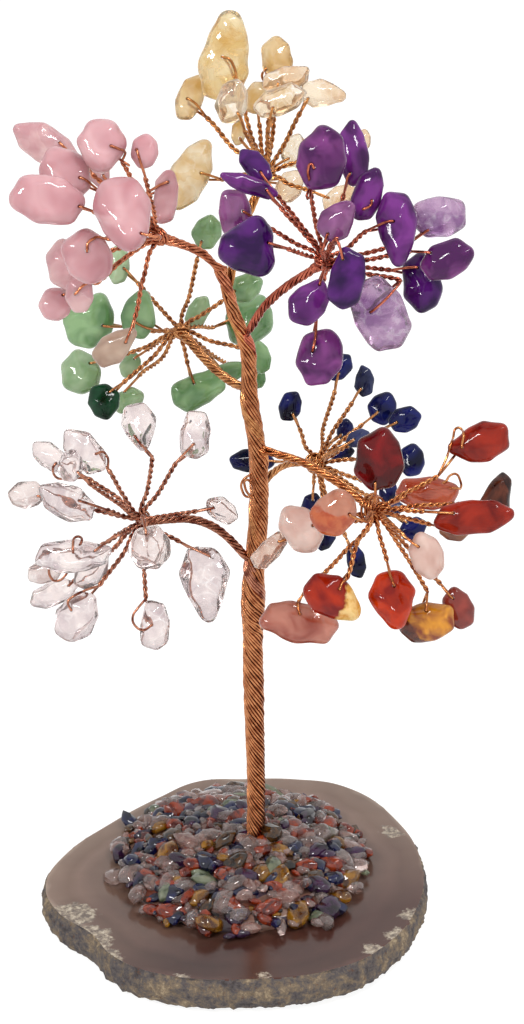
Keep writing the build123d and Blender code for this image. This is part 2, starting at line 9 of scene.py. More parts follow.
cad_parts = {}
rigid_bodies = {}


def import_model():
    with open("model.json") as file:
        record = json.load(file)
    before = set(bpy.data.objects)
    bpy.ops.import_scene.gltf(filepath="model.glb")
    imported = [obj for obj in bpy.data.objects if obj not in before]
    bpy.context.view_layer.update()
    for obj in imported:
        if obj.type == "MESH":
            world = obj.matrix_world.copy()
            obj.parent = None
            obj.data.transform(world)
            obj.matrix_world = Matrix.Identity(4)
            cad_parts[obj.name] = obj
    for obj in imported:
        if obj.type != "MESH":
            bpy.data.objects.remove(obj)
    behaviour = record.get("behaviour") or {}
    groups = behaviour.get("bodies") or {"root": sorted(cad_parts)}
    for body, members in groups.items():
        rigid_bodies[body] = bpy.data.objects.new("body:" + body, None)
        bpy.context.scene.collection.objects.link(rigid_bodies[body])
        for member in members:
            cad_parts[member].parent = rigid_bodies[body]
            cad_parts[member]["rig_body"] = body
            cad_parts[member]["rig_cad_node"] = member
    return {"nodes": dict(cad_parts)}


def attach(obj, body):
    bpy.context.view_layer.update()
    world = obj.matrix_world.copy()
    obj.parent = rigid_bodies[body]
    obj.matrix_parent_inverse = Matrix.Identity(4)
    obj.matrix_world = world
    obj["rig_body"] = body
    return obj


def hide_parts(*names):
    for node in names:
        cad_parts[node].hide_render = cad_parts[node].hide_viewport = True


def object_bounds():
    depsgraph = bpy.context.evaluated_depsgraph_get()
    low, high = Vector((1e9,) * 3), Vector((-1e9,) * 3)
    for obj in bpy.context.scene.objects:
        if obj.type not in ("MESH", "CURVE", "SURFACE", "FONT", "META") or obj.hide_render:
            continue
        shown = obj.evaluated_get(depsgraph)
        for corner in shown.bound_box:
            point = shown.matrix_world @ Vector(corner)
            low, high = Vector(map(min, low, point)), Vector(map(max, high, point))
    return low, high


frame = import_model()
cad_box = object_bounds()
dice = Random(11)
MM = 0.001

# The photograph's view, in the same frame as the solids, in metres

PIXEL = 0.145 * MM
PHOTO_HEIGHT = 1024
VIEW_DISTANCE = 450 * MM
ELEVATION = radians(24)
CENTRE_PIXEL = (262, 512)
FOOT_PIXEL = (255, 868)
CROWN_DEPTH = 138 * PIXEL
SLICE_TOP = 6.2 * MM

VIEW_FORWARD = Vector((0, cos(ELEVATION), -sin(ELEVATION)))
VIEW_RIGHT = Vector((1, 0, 0))
VIEW_UP = Vector((0, sin(ELEVATION), cos(ELEVATION)))


def sight(pixel):
    """Line of sight through a pixel of the photograph, one view distance deep."""
    across = (pixel[0] - CENTRE_PIXEL[0]) * PIXEL
    rise = (CENTRE_PIXEL[1] - pixel[1]) * PIXEL
    return VIEW_FORWARD * VIEW_DISTANCE + VIEW_RIGHT * across + VIEW_UP * rise


foot_sight = sight(FOOT_PIXEL)
EYE = Vector((0, 0, SLICE_TOP)) - foot_sight * (VIEW_DISTANCE * cos(ELEVATION) / foot_sight.y)


def place(pixel, depth_share):
    """Point of the tree seen at a pixel, a share of the crown's depth in front of the trunk."""
    ray = sight(pixel)
    return EYE + ray * ((-depth_share * CROWN_DEPTH - EYE.y) / ray.y)


def on_level(pixel, height):
    """Point seen at a pixel on the level plane at a height."""
    ray = sight(pixel)
    return EYE + ray * ((height - EYE.z) / ray.z)


def seen_at(point):
    """Pixel at which a point is seen."""
    ray = (point - EYE) * (VIEW_DISTANCE / (point - EYE).dot(VIEW_FORWARD))
    return CENTRE_PIXEL[0] + ray.dot(VIEW_RIGHT) / PIXEL, CENTRE_PIXEL[1] - ray.dot(VIEW_UP) / PIXEL


def pixel_at(point):
    """Size that one pixel covers at the depth of a point."""
    return PIXEL * (point - EYE).dot(VIEW_FORWARD) / VIEW_DISTANCE


# Small helpers for modelling

def soft_noise(x, y, z):
    """Smooth random value, about -0.5 to 0.5, that is the same on every run."""
    return noise.noise(Vector((x, y, z)))


def astray():
    """A random arrow in a cube of side 2."""
    return Vector([dice.uniform(-1, 1) for _ in range(3)])


def ease(x):
    """Goes smoothly from 0 to 1 as x does."""
    x = min(max(x, 0.0), 1.0)
    return x * x * (3 - 2 * x)


def between(values, share):
    """Value at a share of the way along a row of values."""
    spot = min(max(share, 0.0), 1.0) * (len(values) - 1)
    low = min(int(spot), len(values) - 2)
    return values[low] + (values[low + 1] - values[low]) * (spot - low)


def only(*objects):
    """Selects these objects and nothing else."""
    bpy.ops.object.select_all(action="DESELECT")
    for obj in objects:
        obj.select_set(True)
    bpy.context.view_layer.objects.active = objects[0]


def added(add, **settings):
    """Adds an object with an operator, with nothing else selected."""
    bpy.ops.object.select_all(action="DESELECT")
    add(**settings)
    return bpy.context.object


def edit(obj):
    """Goes into edit mode with all of a mesh selected."""
    only(obj)
    bpy.ops.object.mode_set(mode="EDIT")
    bpy.ops.mesh.select_all(action="SELECT")


def leave_edit():
    bpy.ops.object.mode_set(mode="OBJECT")


def hull(obj):
    """Turns a mesh into its convex hull."""
    edit(obj)
    bpy.ops.mesh.convex_hull()
    leave_edit()


def clouds(name, size, depth):
    """Texture of soft lumps of a size, for a displace modifier."""
    texture = bpy.data.textures.new(name, "CLOUDS")
    texture.noise_scale, texture.noise_depth = size, depth
    return texture


def displace(obj, texture, strength, middle, group=""):
    """Pushes a surface in and out by a texture, where the middle value stays in place."""
    push = obj.modifiers.new(texture.name, "DISPLACE")
    push.texture, push.texture_coords, push.vertex_group = texture, "LOCAL", group
    push.strength, push.mid_level = strength, middle


def settle(obj):
    """Applies the modifiers and the place of an object."""
    only(obj)
    for modifier in list(obj.modifiers):
        bpy.ops.object.modifier_apply(modifier=modifier.name)
    bpy.ops.object.transform_apply(location=True, rotation=True, scale=True)


def join(name, objects):
    only(*objects)
    bpy.ops.object.join()
    piece = bpy.context.view_layer.objects.active
    piece.name = name
    return piece


def hand_over(piece, slot, *nodes):
    """The piece rides on the tree and stands for its CAD nodes."""
    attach(piece, "root")
    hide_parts(*nodes)


def drawn_line(points, steps, closed=False):
    """Points of a smooth curve with automatic handles through given points."""
    curve = added(bpy.ops.curve.primitive_bezier_curve_add)
    spline = curve.data.splines[0]
    spline.bezier_points.add(len(points) - 2)
    spline.use_cyclic_u = closed
    spline.resolution_u = curve.data.resolution_u = steps
    for knot, point in zip(spline.bezier_points, points):
        knot.co = point
        knot.handle_left_type = knot.handle_right_type = "AUTO"
    mesh = bpy.data.meshes.new_from_object(curve)
    line = [v.co.copy() for v in mesh.vertices]
    bpy.data.objects.remove(curve)
    return line


class Route:
    """A line through the tree, with a place and two spokes at every distance along it."""

    def __init__(self, points, reference):
        self.points = points
        self.marks = [0.0]
        for a, b in zip(points, points[1:]):
            self.marks.append(self.marks[-1] + (b - a).length)
        self.length = self.marks[-1]
        self.spokes = []
        spoke = reference
        for i in range(len(points)):
            run = (points[min(i + 1, len(points) - 1)] - points[max(i - 1, 0)]).normalized()
            spoke = (spoke - run * spoke.dot(run)).normalized()
            self.spokes.append((run, spoke, run.cross(spoke)))

    def at(self, distance):
        """Point, run, spoke and side spoke at a distance from the start."""
        distance = min(max(distance, 0.0), self.length)
        low, high = 0, len(self.marks) - 1
        while high - low > 1:
            middle = (low + high) // 2
            if self.marks[middle] <= distance:
                low = middle
            else:
                high = middle
        share = (distance - self.marks[low]) / (self.marks[high] - self.marks[low])
        point = self.points[low].lerp(self.points[high], share)
        run, spoke, side = (a.lerp(b, share) for a, b in zip(self.spokes[low], self.spokes[high]))
        return point, run.normalized(), spoke.normalized(), side.normalized()

    def on_ring(self, distance, angle, radius):
        point, _, spoke, side = self.at(distance)
        return point + (spoke * cos(angle) + side * sin(angle)) * radius


def wires(name, lines, radius, metal, sides=6, widths=None):
    """Round wires along lines of points, as one mesh, with widths as shares of the radius if given."""
    curve = added(bpy.ops.curve.primitive_nurbs_path_add)
    curve.data.splines.clear()
    for line in lines:
        spline = curve.data.splines.new("POLY")
        spline.points.add(len(line) - 1)
        for knot, point, width in zip(spline.points, line, widths or [1] * len(line)):
            knot.co = (*point, 1)
            knot.radius = width
    curve.data.bevel_depth = radius
    curve.data.bevel_resolution = (sides - 4) // 2
    curve.data.use_fill_caps = True
    only(curve)
    bpy.ops.object.convert(target="MESH")
    bpy.ops.object.shade_smooth()
    piece = bpy.context.object
    piece.name = name
    piece.data.materials.append(COPPER[metal])
    return piece


# Materials

# The scale of a pattern is PER_MM / 2 where its patches are to be about 2 mm wide.
PER_MM = 1 / MM
# How strongly the polish of a stone throws back its surroundings.
SHINE = 0.5


def linear(text):
    """Linear colour of an sRGB hex value."""
    parts = [int(text[i:i + 2], 16) / 255 for i in (1, 3, 5)]
    return (*[c / 12.92 if c <= 0.04045 else ((c + 0.055) / 1.055) ** 2.4 for c in parts], 1)


def new_material(name):
    """A new material with its node tree emptied, and the tree."""
    material = bpy.data.materials.new(name)
    material.use_nodes = True
    material.node_tree.nodes.clear()
    return material, material.node_tree


def node(tree, kind, inputs=None, out=0, stops=(), **settings):
    """Adds a node, sets or links its inputs, sets a ramp's stops, and gives one of its outputs."""
    made = tree.nodes.new("ShaderNode" + kind)
    for key, value in settings.items():
        setattr(made, key, value)
    for key, value in (inputs or {}).items():
        if isinstance(value, bpy.types.NodeSocket):
            tree.links.new(value, made.inputs[key])
        else:
            made.inputs[key].default_value = value
    for index, (spot, colour) in enumerate(stops):
        if index > 1:
            made.color_ramp.elements.new(1.0)
        element = made.color_ramp.elements[index]
        element.position, element.color = spot, linear(colour)
    return made.outputs[out] if made.outputs else None


def gem(name, dark, light, clear, milky, patch, cracks=None, split=None, shine=SHINE):
    """Tumbled quartz or feldspathoid: glassy polish over colour zones, cloudy or cracked inside."""
    material, tree = new_material(name)
    spot = node(tree, "TexCoord", out="Object")
    zones = node(tree, "TexNoise", {
        "Vector": spot, "Scale": 1 / patch, "Roughness": 0.45, "Distortion": 0.6})
    if cracks:
        white, apart = cracks
        warp = node(tree, "TexNoise", {"Vector": spot, "Scale": 1 / apart}, "Color")
        bent = node(tree, "VectorMath", {0: warp, 1: (1.3 * apart,) * 3, 2: spot}, operation="MULTIPLY_ADD")
        cells = {"Vector": bent, "Scale": 1 / apart}
        grain = node(tree, "SeparateColor", {0: node(tree, "TexVoronoi", cells, "Color")})
        shift = node(tree, "MapRange", {0: grain, 3: -0.08, 4: 0.08})
        zones = node(tree, "Math", {0: zones, 1: shift}, operation="ADD")
    body = node(tree, "ValToRGB", {0: zones}, stops=((0.36, dark), (0.64, light)))
    if cracks:
        edge = node(tree, "TexVoronoi", cells, "Distance", feature="DISTANCE_TO_EDGE")
        crack = node(tree, "MapRange", {0: edge, 2: 0.09, 3: white, 4: 0})
        cloud = node(tree, "TexNoise", {"Vector": spot, "Scale": PER_MM / 2.6})
        veil = node(tree, "MapRange", {0: cloud, 1: 0.45, 2: 0.6, 4: crack})
        body = node(tree, "Mix", {0: veil, 6: body, 7: linear("#ffffff")}, 2, data_type="RGBA")
    uneven = node(tree, "TexNoise", {"Vector": spot, "Scale": PER_MM / 1.6, "Detail": 3})
    if split:
        border, run, other_dark, other_light = split
        reach = node(tree, "VectorMath", {0: spot, 1: run}, "Value", operation="DOT_PRODUCT")
        waves = node(tree, "TexNoise", {"Vector": spot, "Scale": PER_MM / 2.2, "Detail": 3})
        reach = node(tree, "Math", {0: waves, 1: 3 * MM, 2: reach}, operation="MULTIPLY_ADD")
        middle = border.dot(run) + 1.5 * MM
        past = node(tree, "MapRange", {0: reach, 1: middle - 0.2 * MM, 2: middle + 0.2 * MM})
        other = node(tree, "ValToRGB", {0: uneven}, stops=((0.4, other_dark), (0.6, other_light)))
        body = node(tree, "Mix", {0: past, 6: body, 7: other}, 2, data_type="RGBA")
    bump = node(tree, "Bump", {"Strength": 0.12, "Distance": 0.3 * MM, "Height": uneven})
    shader = node(tree, "BsdfPrincipled", {
        "Base Color": body, "Roughness": 0.06, "IOR": 1.54, "Specular IOR Level": shine, "Normal": bump,
        "Transmission Weight": clear, "Subsurface Weight": milky, "Subsurface Scale": 1,
        "Subsurface Radius": (1.6 * MM, 1.2 * MM, 1.1 * MM)})
    node(tree, "OutputMaterial", {0: shader})
    return material


def copper(name, bright, dull):
    """Soft copper wire: warm metal, mottled bright and dull, partly its own uneven tint and partly painted
    highlights and shade.
    """
    material, tree = new_material(name)
    spot = node(tree, "TexCoord", out="Object")
    # The mottle is partly uneven tint of the wire and partly painted highlights and shade that stand in for
    # reflections.
    tint_and_painted_sheen = node(tree, "TexNoise", {"Vector": spot, "Scale": PER_MM / 1.3, "Detail": 3})
    body = node(tree, "ValToRGB", {0: tint_and_painted_sheen}, stops=((0.36, dull), (0.6, bright)))
    rub = node(tree, "TexNoise", {"Vector": spot, "Scale": PER_MM / 0.8})
    rough = node(tree, "MapRange", {0: rub, 1: 0.3, 2: 0.7, 3: 0.14, 4: 0.24})
    shader = node(tree, "BsdfPrincipled", {"Base Color": body, "Metallic": 1, "Roughness": rough})
    node(tree, "OutputMaterial", {0: shader})
    return material


# Crusty spots on the polished face: pixel, and radius in millimetres.
CRUST_SPOTS = (
    ((392, 832), 1.5), ((183, 977), 0.9), ((262, 976), 0.8), ((72, 915), 3.4), ((84, 940), 4.2),
    ((104, 958), 2.6), ((412, 915), 1.8), ((400, 936), 2.0), ((373, 950), 1.6),
)
# How far their edges go in and out.
CRUST_RAGGED = 5 * MM


def agate_face():
    """Polished agate: grey-brown chalcedony with faint bands that follow the rim."""
    material, tree = new_material("agate, sawn and polished")
    spot = node(tree, "TexCoord", out="Object")
    inward = node(tree, "Attribute", out="Fac", attribute_name="inward")
    wave = node(tree, "TexNoise", {"Vector": spot, "Scale": PER_MM / 9})
    drift = node(tree, "Math", {0: wave, 1: 0.16, 2: inward}, operation="MULTIPLY_ADD")
    bands = node(tree, "ValToRGB", {0: drift}, stops=(
        (0.06, "#b8a898"), (0.1, "#846f62"), (0.2, "#6e574a"), (0.26, "#836a5e"), (0.34, "#745d52"),
        (0.5, "#7d6659"), (0.7, "#866e60")))
    cloud = node(tree, "TexNoise", {"Vector": spot, "Scale": PER_MM / 16, "Detail": 3, "Distortion": 0.4})
    tint = node(tree, "ValToRGB", {0: cloud}, stops=((0.35, "#644b40"), (0.65, "#927868")))
    body = node(tree, "Mix", {0: 0.45, 6: bands, 7: tint}, 2, data_type="RGBA")
    # The slice grows browner and darker towards its front and right.
    across = node(tree, "VectorMath", {0: spot, 1: (0.45, -0.9, 0)}, "Value", operation="DOT_PRODUCT")
    shade = node(tree, "MapRange", {0: across, 1: -8 * MM, 2: 20 * MM})
    body = node(tree, "Mix", {0: shade, 6: body, 7: linear("#8e6e6c")}, 2,
                data_type="RGBA", blend_type="MULTIPLY")
    ragged = node(tree, "TexNoise", {"Vector": spot, "Scale": PER_MM / 1.4, "Detail": 4, "Roughness": 0.7})
    crumbs = node(tree, "TexNoise", {"Vector": spot, "Scale": PER_MM / 0.8, "Detail": 4, "Roughness": 0.7})
    crust = node(tree, "ValToRGB", {0: crumbs}, stops=(
        (0.4, "#665a52"), (0.5, "#8e8070"), (0.62, "#bfb3a0")))
    for pixel, size in CRUST_SPOTS:
        centre = on_level(pixel, SLICE_TOP)
        away = node(tree, "VectorMath", {0: spot, 1: centre}, "Value", operation="DISTANCE")
        away = node(tree, "Math", {0: ragged, 1: CRUST_RAGGED, 2: away}, operation="MULTIPLY_ADD")
        edge = size * MM + CRUST_RAGGED / 2
        near = node(tree, "MapRange", {0: away, 1: edge - 0.3 * MM, 2: edge + 0.3 * MM, 3: 1, 4: 0})
        body = node(tree, "Mix", {0: near, 6: body, 7: crust}, 2, data_type="RGBA")
    grain = node(tree, "TexNoise", {"Vector": spot, "Scale": PER_MM / 0.7})
    rough = node(tree, "MapRange", {0: grain, 1: 0.3, 2: 0.7, 3: 0.14, 4: 0.24})
    shader = node(tree, "BsdfPrincipled", {
        "Base Color": body, "Roughness": rough, "IOR": 1.54, "Specular IOR Level": 0.35,
        "Subsurface Weight": 0.25, "Subsurface Scale": 1,
        "Subsurface Radius": (1.5 * MM, 1.2 * MM, 1.0 * MM)})
    node(tree, "OutputMaterial", {0: shader})
    return material


def agate_rind():
    """Natural rind: chalky grey brown with cream and rusty grains of 0.5 to 2 mm."""
    material, tree = new_material("agate rind, rough")
    spot = node(tree, "TexCoord", out="Object")
    grains = node(tree, "TexNoise", {"Vector": spot, "Scale": PER_MM / 1.4, "Detail": 8, "Roughness": 0.8})
    patches = node(tree, "TexNoise", {"Vector": spot, "Scale": PER_MM / 5})
    patches = node(tree, "Math", {0: patches, 1: 0.5, 2: grains}, operation="MULTIPLY_ADD")
    body = node(tree, "ValToRGB", {0: patches}, stops=(
        (0.59, "#362f2e"), (0.69, "#504a4c"), (0.75, "#625850"), (0.82, "#796854"), (0.95, "#ab997d")))
    specks = node(tree, "TexNoise", {"Vector": spot, "Scale": PER_MM / 0.9, "Detail": 3, "Roughness": 0.6})
    rust = node(tree, "MapRange", {0: specks, 1: 0.62, 2: 0.7, 4: 0.7})
    body = node(tree, "Mix", {0: rust, 6: body, 7: linear("#5e3c22")}, 2, data_type="RGBA")
    crust = node(tree, "TexNoise", {"Vector": spot, "Scale": PER_MM / 0.6, "Detail": 6, "Roughness": 0.75})
    bump = node(tree, "Bump", {"Strength": 0.8, "Distance": 0.3 * MM, "Height": crust})
    shader = node(tree, "BsdfPrincipled", {
        "Base Color": body, "Roughness": 0.8, "IOR": 1.5, "Normal": bump})
    node(tree, "OutputMaterial", {0: shader})
    return material


def hard_glue():
    """Clear hard glue over deeper chips, glossy: spots the size of a chip in the chips' colours, with dark
    ones as painted shade between the chips.
    """
    material, tree = new_material("glue, clear and hard")
    spot = node(tree, "TexCoord", out="Object")
    cells = node(tree, "TexVoronoi", {"Vector": spot, "Scale": PER_MM / 2.2}, "Color")
    # The darkest spots are painted shade in the gaps between chips; the others are the colours of deeper
    # chips.
    body = node(tree, "ValToRGB", {0: node(tree, "SeparateColor", {0: cells})}, stops=(
        (0.0, "#120c10"), (0.25, "#3c2620"), (0.45, "#75594e"), (0.6, "#5c2412"), (0.8, "#8c7062"),
        (1.0, "#221830")))
    shader = node(tree, "BsdfPrincipled", {"Base Color": body, "Roughness": 0.12, "IOR": 1.5})
    node(tree, "OutputMaterial", {0: shader})
    return material


# The stones

# What each named look of a stone is: dark and light zone, clearness and milkiness.
LOOKS = {
    "violet": ("#420c50", "#7a3088", 0.2, 0.3),
    "dusty violet": ("#4a1052", "#883f88", 0.25, 0.3),
    "mauve": ("#6c2c68", "#a4629c", 0.35, 0.3),
    "pale lilac": ("#7d4f86", "#c9a6c6", 0.7, 0.1),
    "indigo": ("#26033e", "#521a6c", 0.08, 0.1),
    "rose": ("#c48890", "#dfb2b6", 0.2, 0.6),
    "pale rose": ("#cd9aa0", "#e2bcbc", 0.25, 0.5),
    "smoky rose": ("#a58673", "#c9b09c", 0.25, 0.5),
    "honey": ("#d4aa5c", "#eedcb0", 0.75, 0.2),
    "pale gold": ("#d0a45c", "#eed6a8", 0.7, 0.2),
    "cracked gold": ("#dcbd90", "#f8ecd8", 0.85, 0.1),
    "cream": ("#e0c088", "#f4e8cc", 0.6, 0.35),
    "champagne": ("#dcb488", "#f4e4cc", 0.85, 0.1),
    "leaf": ("#68945e", "#9cc08c", 0.3, 0.6),
    "pale leaf": ("#8cae7c", "#bacfaa", 0.35, 0.6),
    "moss": ("#5e8a54", "#8cb080", 0.2, 0.5),
    "malachite": ("#021a0c", "#0b4024", 0.05, 0.0),
    "clear": ("#c8b8ba", "#f6eae6", 0.92, 0.15),
    "frosty": ("#d0bcb8", "#f0e4e0", 0.88, 0.2),
    "dark red": ("#480507", "#7a1012", 0.12, 0.2),
    "red": ("#6c0c02", "#a02812", 0.15, 0.4),
    "red and cream": ("#7e0e04", "#b42e0c", 0.2, 0.3),
    "red brown": ("#6e1c14", "#9c3a2c", 0.2, 0.3),
    "rust pink": ("#b84a2c", "#dc785a", 0.35, 0.4),
    "orange": ("#8a1202", "#c8380a", 0.2, 0.4),
    "half orange": ("#b87458", "#cc9078", 0.3, 0.5),
    "pale pink": ("#cfa699", "#e2c6bb", 0.3, 0.6),
    "smoky": ("#260a06", "#6a3420", 0.2, 0.2),
    "amber": ("#903a02", "#f4a824", 0.35, 0.2),
    "pink red": ("#a04a38", "#cf8a76", 0.35, 0.4),
    "cracked": ("#c49c8a", "#e8d0c0", 0.8, 0.1),
    "brown": ("#6e3a26", "#98623e", 0.15, 0.3),
    "navy": ("#04051e", "#161c5c", 0.0, 0.0),
    "grey navy": ("#161a38", "#3a4066", 0.0, 0.0),
}
# Veils inside a stone: how white they are, and how wide apart.
CRACKED = {
    "cracked gold": (0.8, 0.85 * MM),
    "cracked": (0.6, 0.9 * MM),
    "clear": (0.6, 2.2 * MM),
    "frosty": (0.6, 1.8 * MM),
    "pale lilac": (0.3, 3 * MM),
    "champagne": (0.5, 1.8 * MM),
    "pale gold": (0.15, 3 * MM),
    "honey": (0.1, 3 * MM),
    "cream": (0.15, 1.5 * MM),
    "pale rose": (0.1, 2.5 * MM),
}
# How wide the colour zones of most stones are, and those of the others.
ZONE_SIZE = 3.5 * MM
ZONE_SIZES = {"smoky": 2.6 * MM, "rose": 5 * MM, "honey": 2.6 * MM, "amber": 2.6 * MM}
# Stones of two colours: a point on the border, the way across it, and the zones beyond.
SPLIT = {
    "red and cream": (place((343, 598), 0.94), Vector((0.94, 0, -0.34)), "#d89a3c", "#f2d08c"),
    "amber": (place((415, 624), 0.7), Vector((-0.75, 0, -0.66)), "#3e150c", "#7a3a22"),
    "half orange": (place((334, 509), 1.02), Vector((-0.2, 0, -0.98)), "#b4481c", "#cc6c3c"),
}
# Dark polished stones throw back less of the white surroundings.
DARK_LOOKS = ("indigo", "violet", "dusty violet", "malachite", "dark red", "red", "red and cream", "orange",
              "navy", "grey navy", "smoky")
DARK_SHINE = 0.2
gem_materials = {}


def look(name):
    """Material of a named look, made on its first use."""
    if name not in gem_materials:
        shine = DARK_SHINE if name in DARK_LOOKS else SHINE
        gem_materials[name] = gem(f"tumbled {name}", *LOOKS[name], ZONE_SIZES.get(name, ZONE_SIZE),
                                  CRACKED.get(name), SPLIT.get(name), shine)
    return gem_materials[name]


COPPER = {
    # Dark copper for the core under the laid wires: painted shade in the gaps between them.
    "heart": copper("copper wire, painted shade deep in the lay", "#6a3520", "#4a2212"),
    "trunk": copper("copper wire, orange brown", "#ca8a5e", "#9c5e3c"),
    "citrine": copper("copper wire, golden", "#cc9056", "#9c6238"),
    "amethyst": copper("copper wire, reddish", "#c47058", "#80382a"),
    "rose_quartz": copper("copper wire, rosy", "#d28864", "#945038"),
    "aventurine": copper("copper wire, brown gold", "#cc9260", "#945c36"),
    "clear_quartz": copper("copper wire, brown", "#bc8268", "#703a2c"),
    "carnelian": copper("copper wire, orange", "#d08c58", "#96522e"),
    "sodalite": copper("copper wire, pale orange", "#cc9260", "#9c643c"),
}

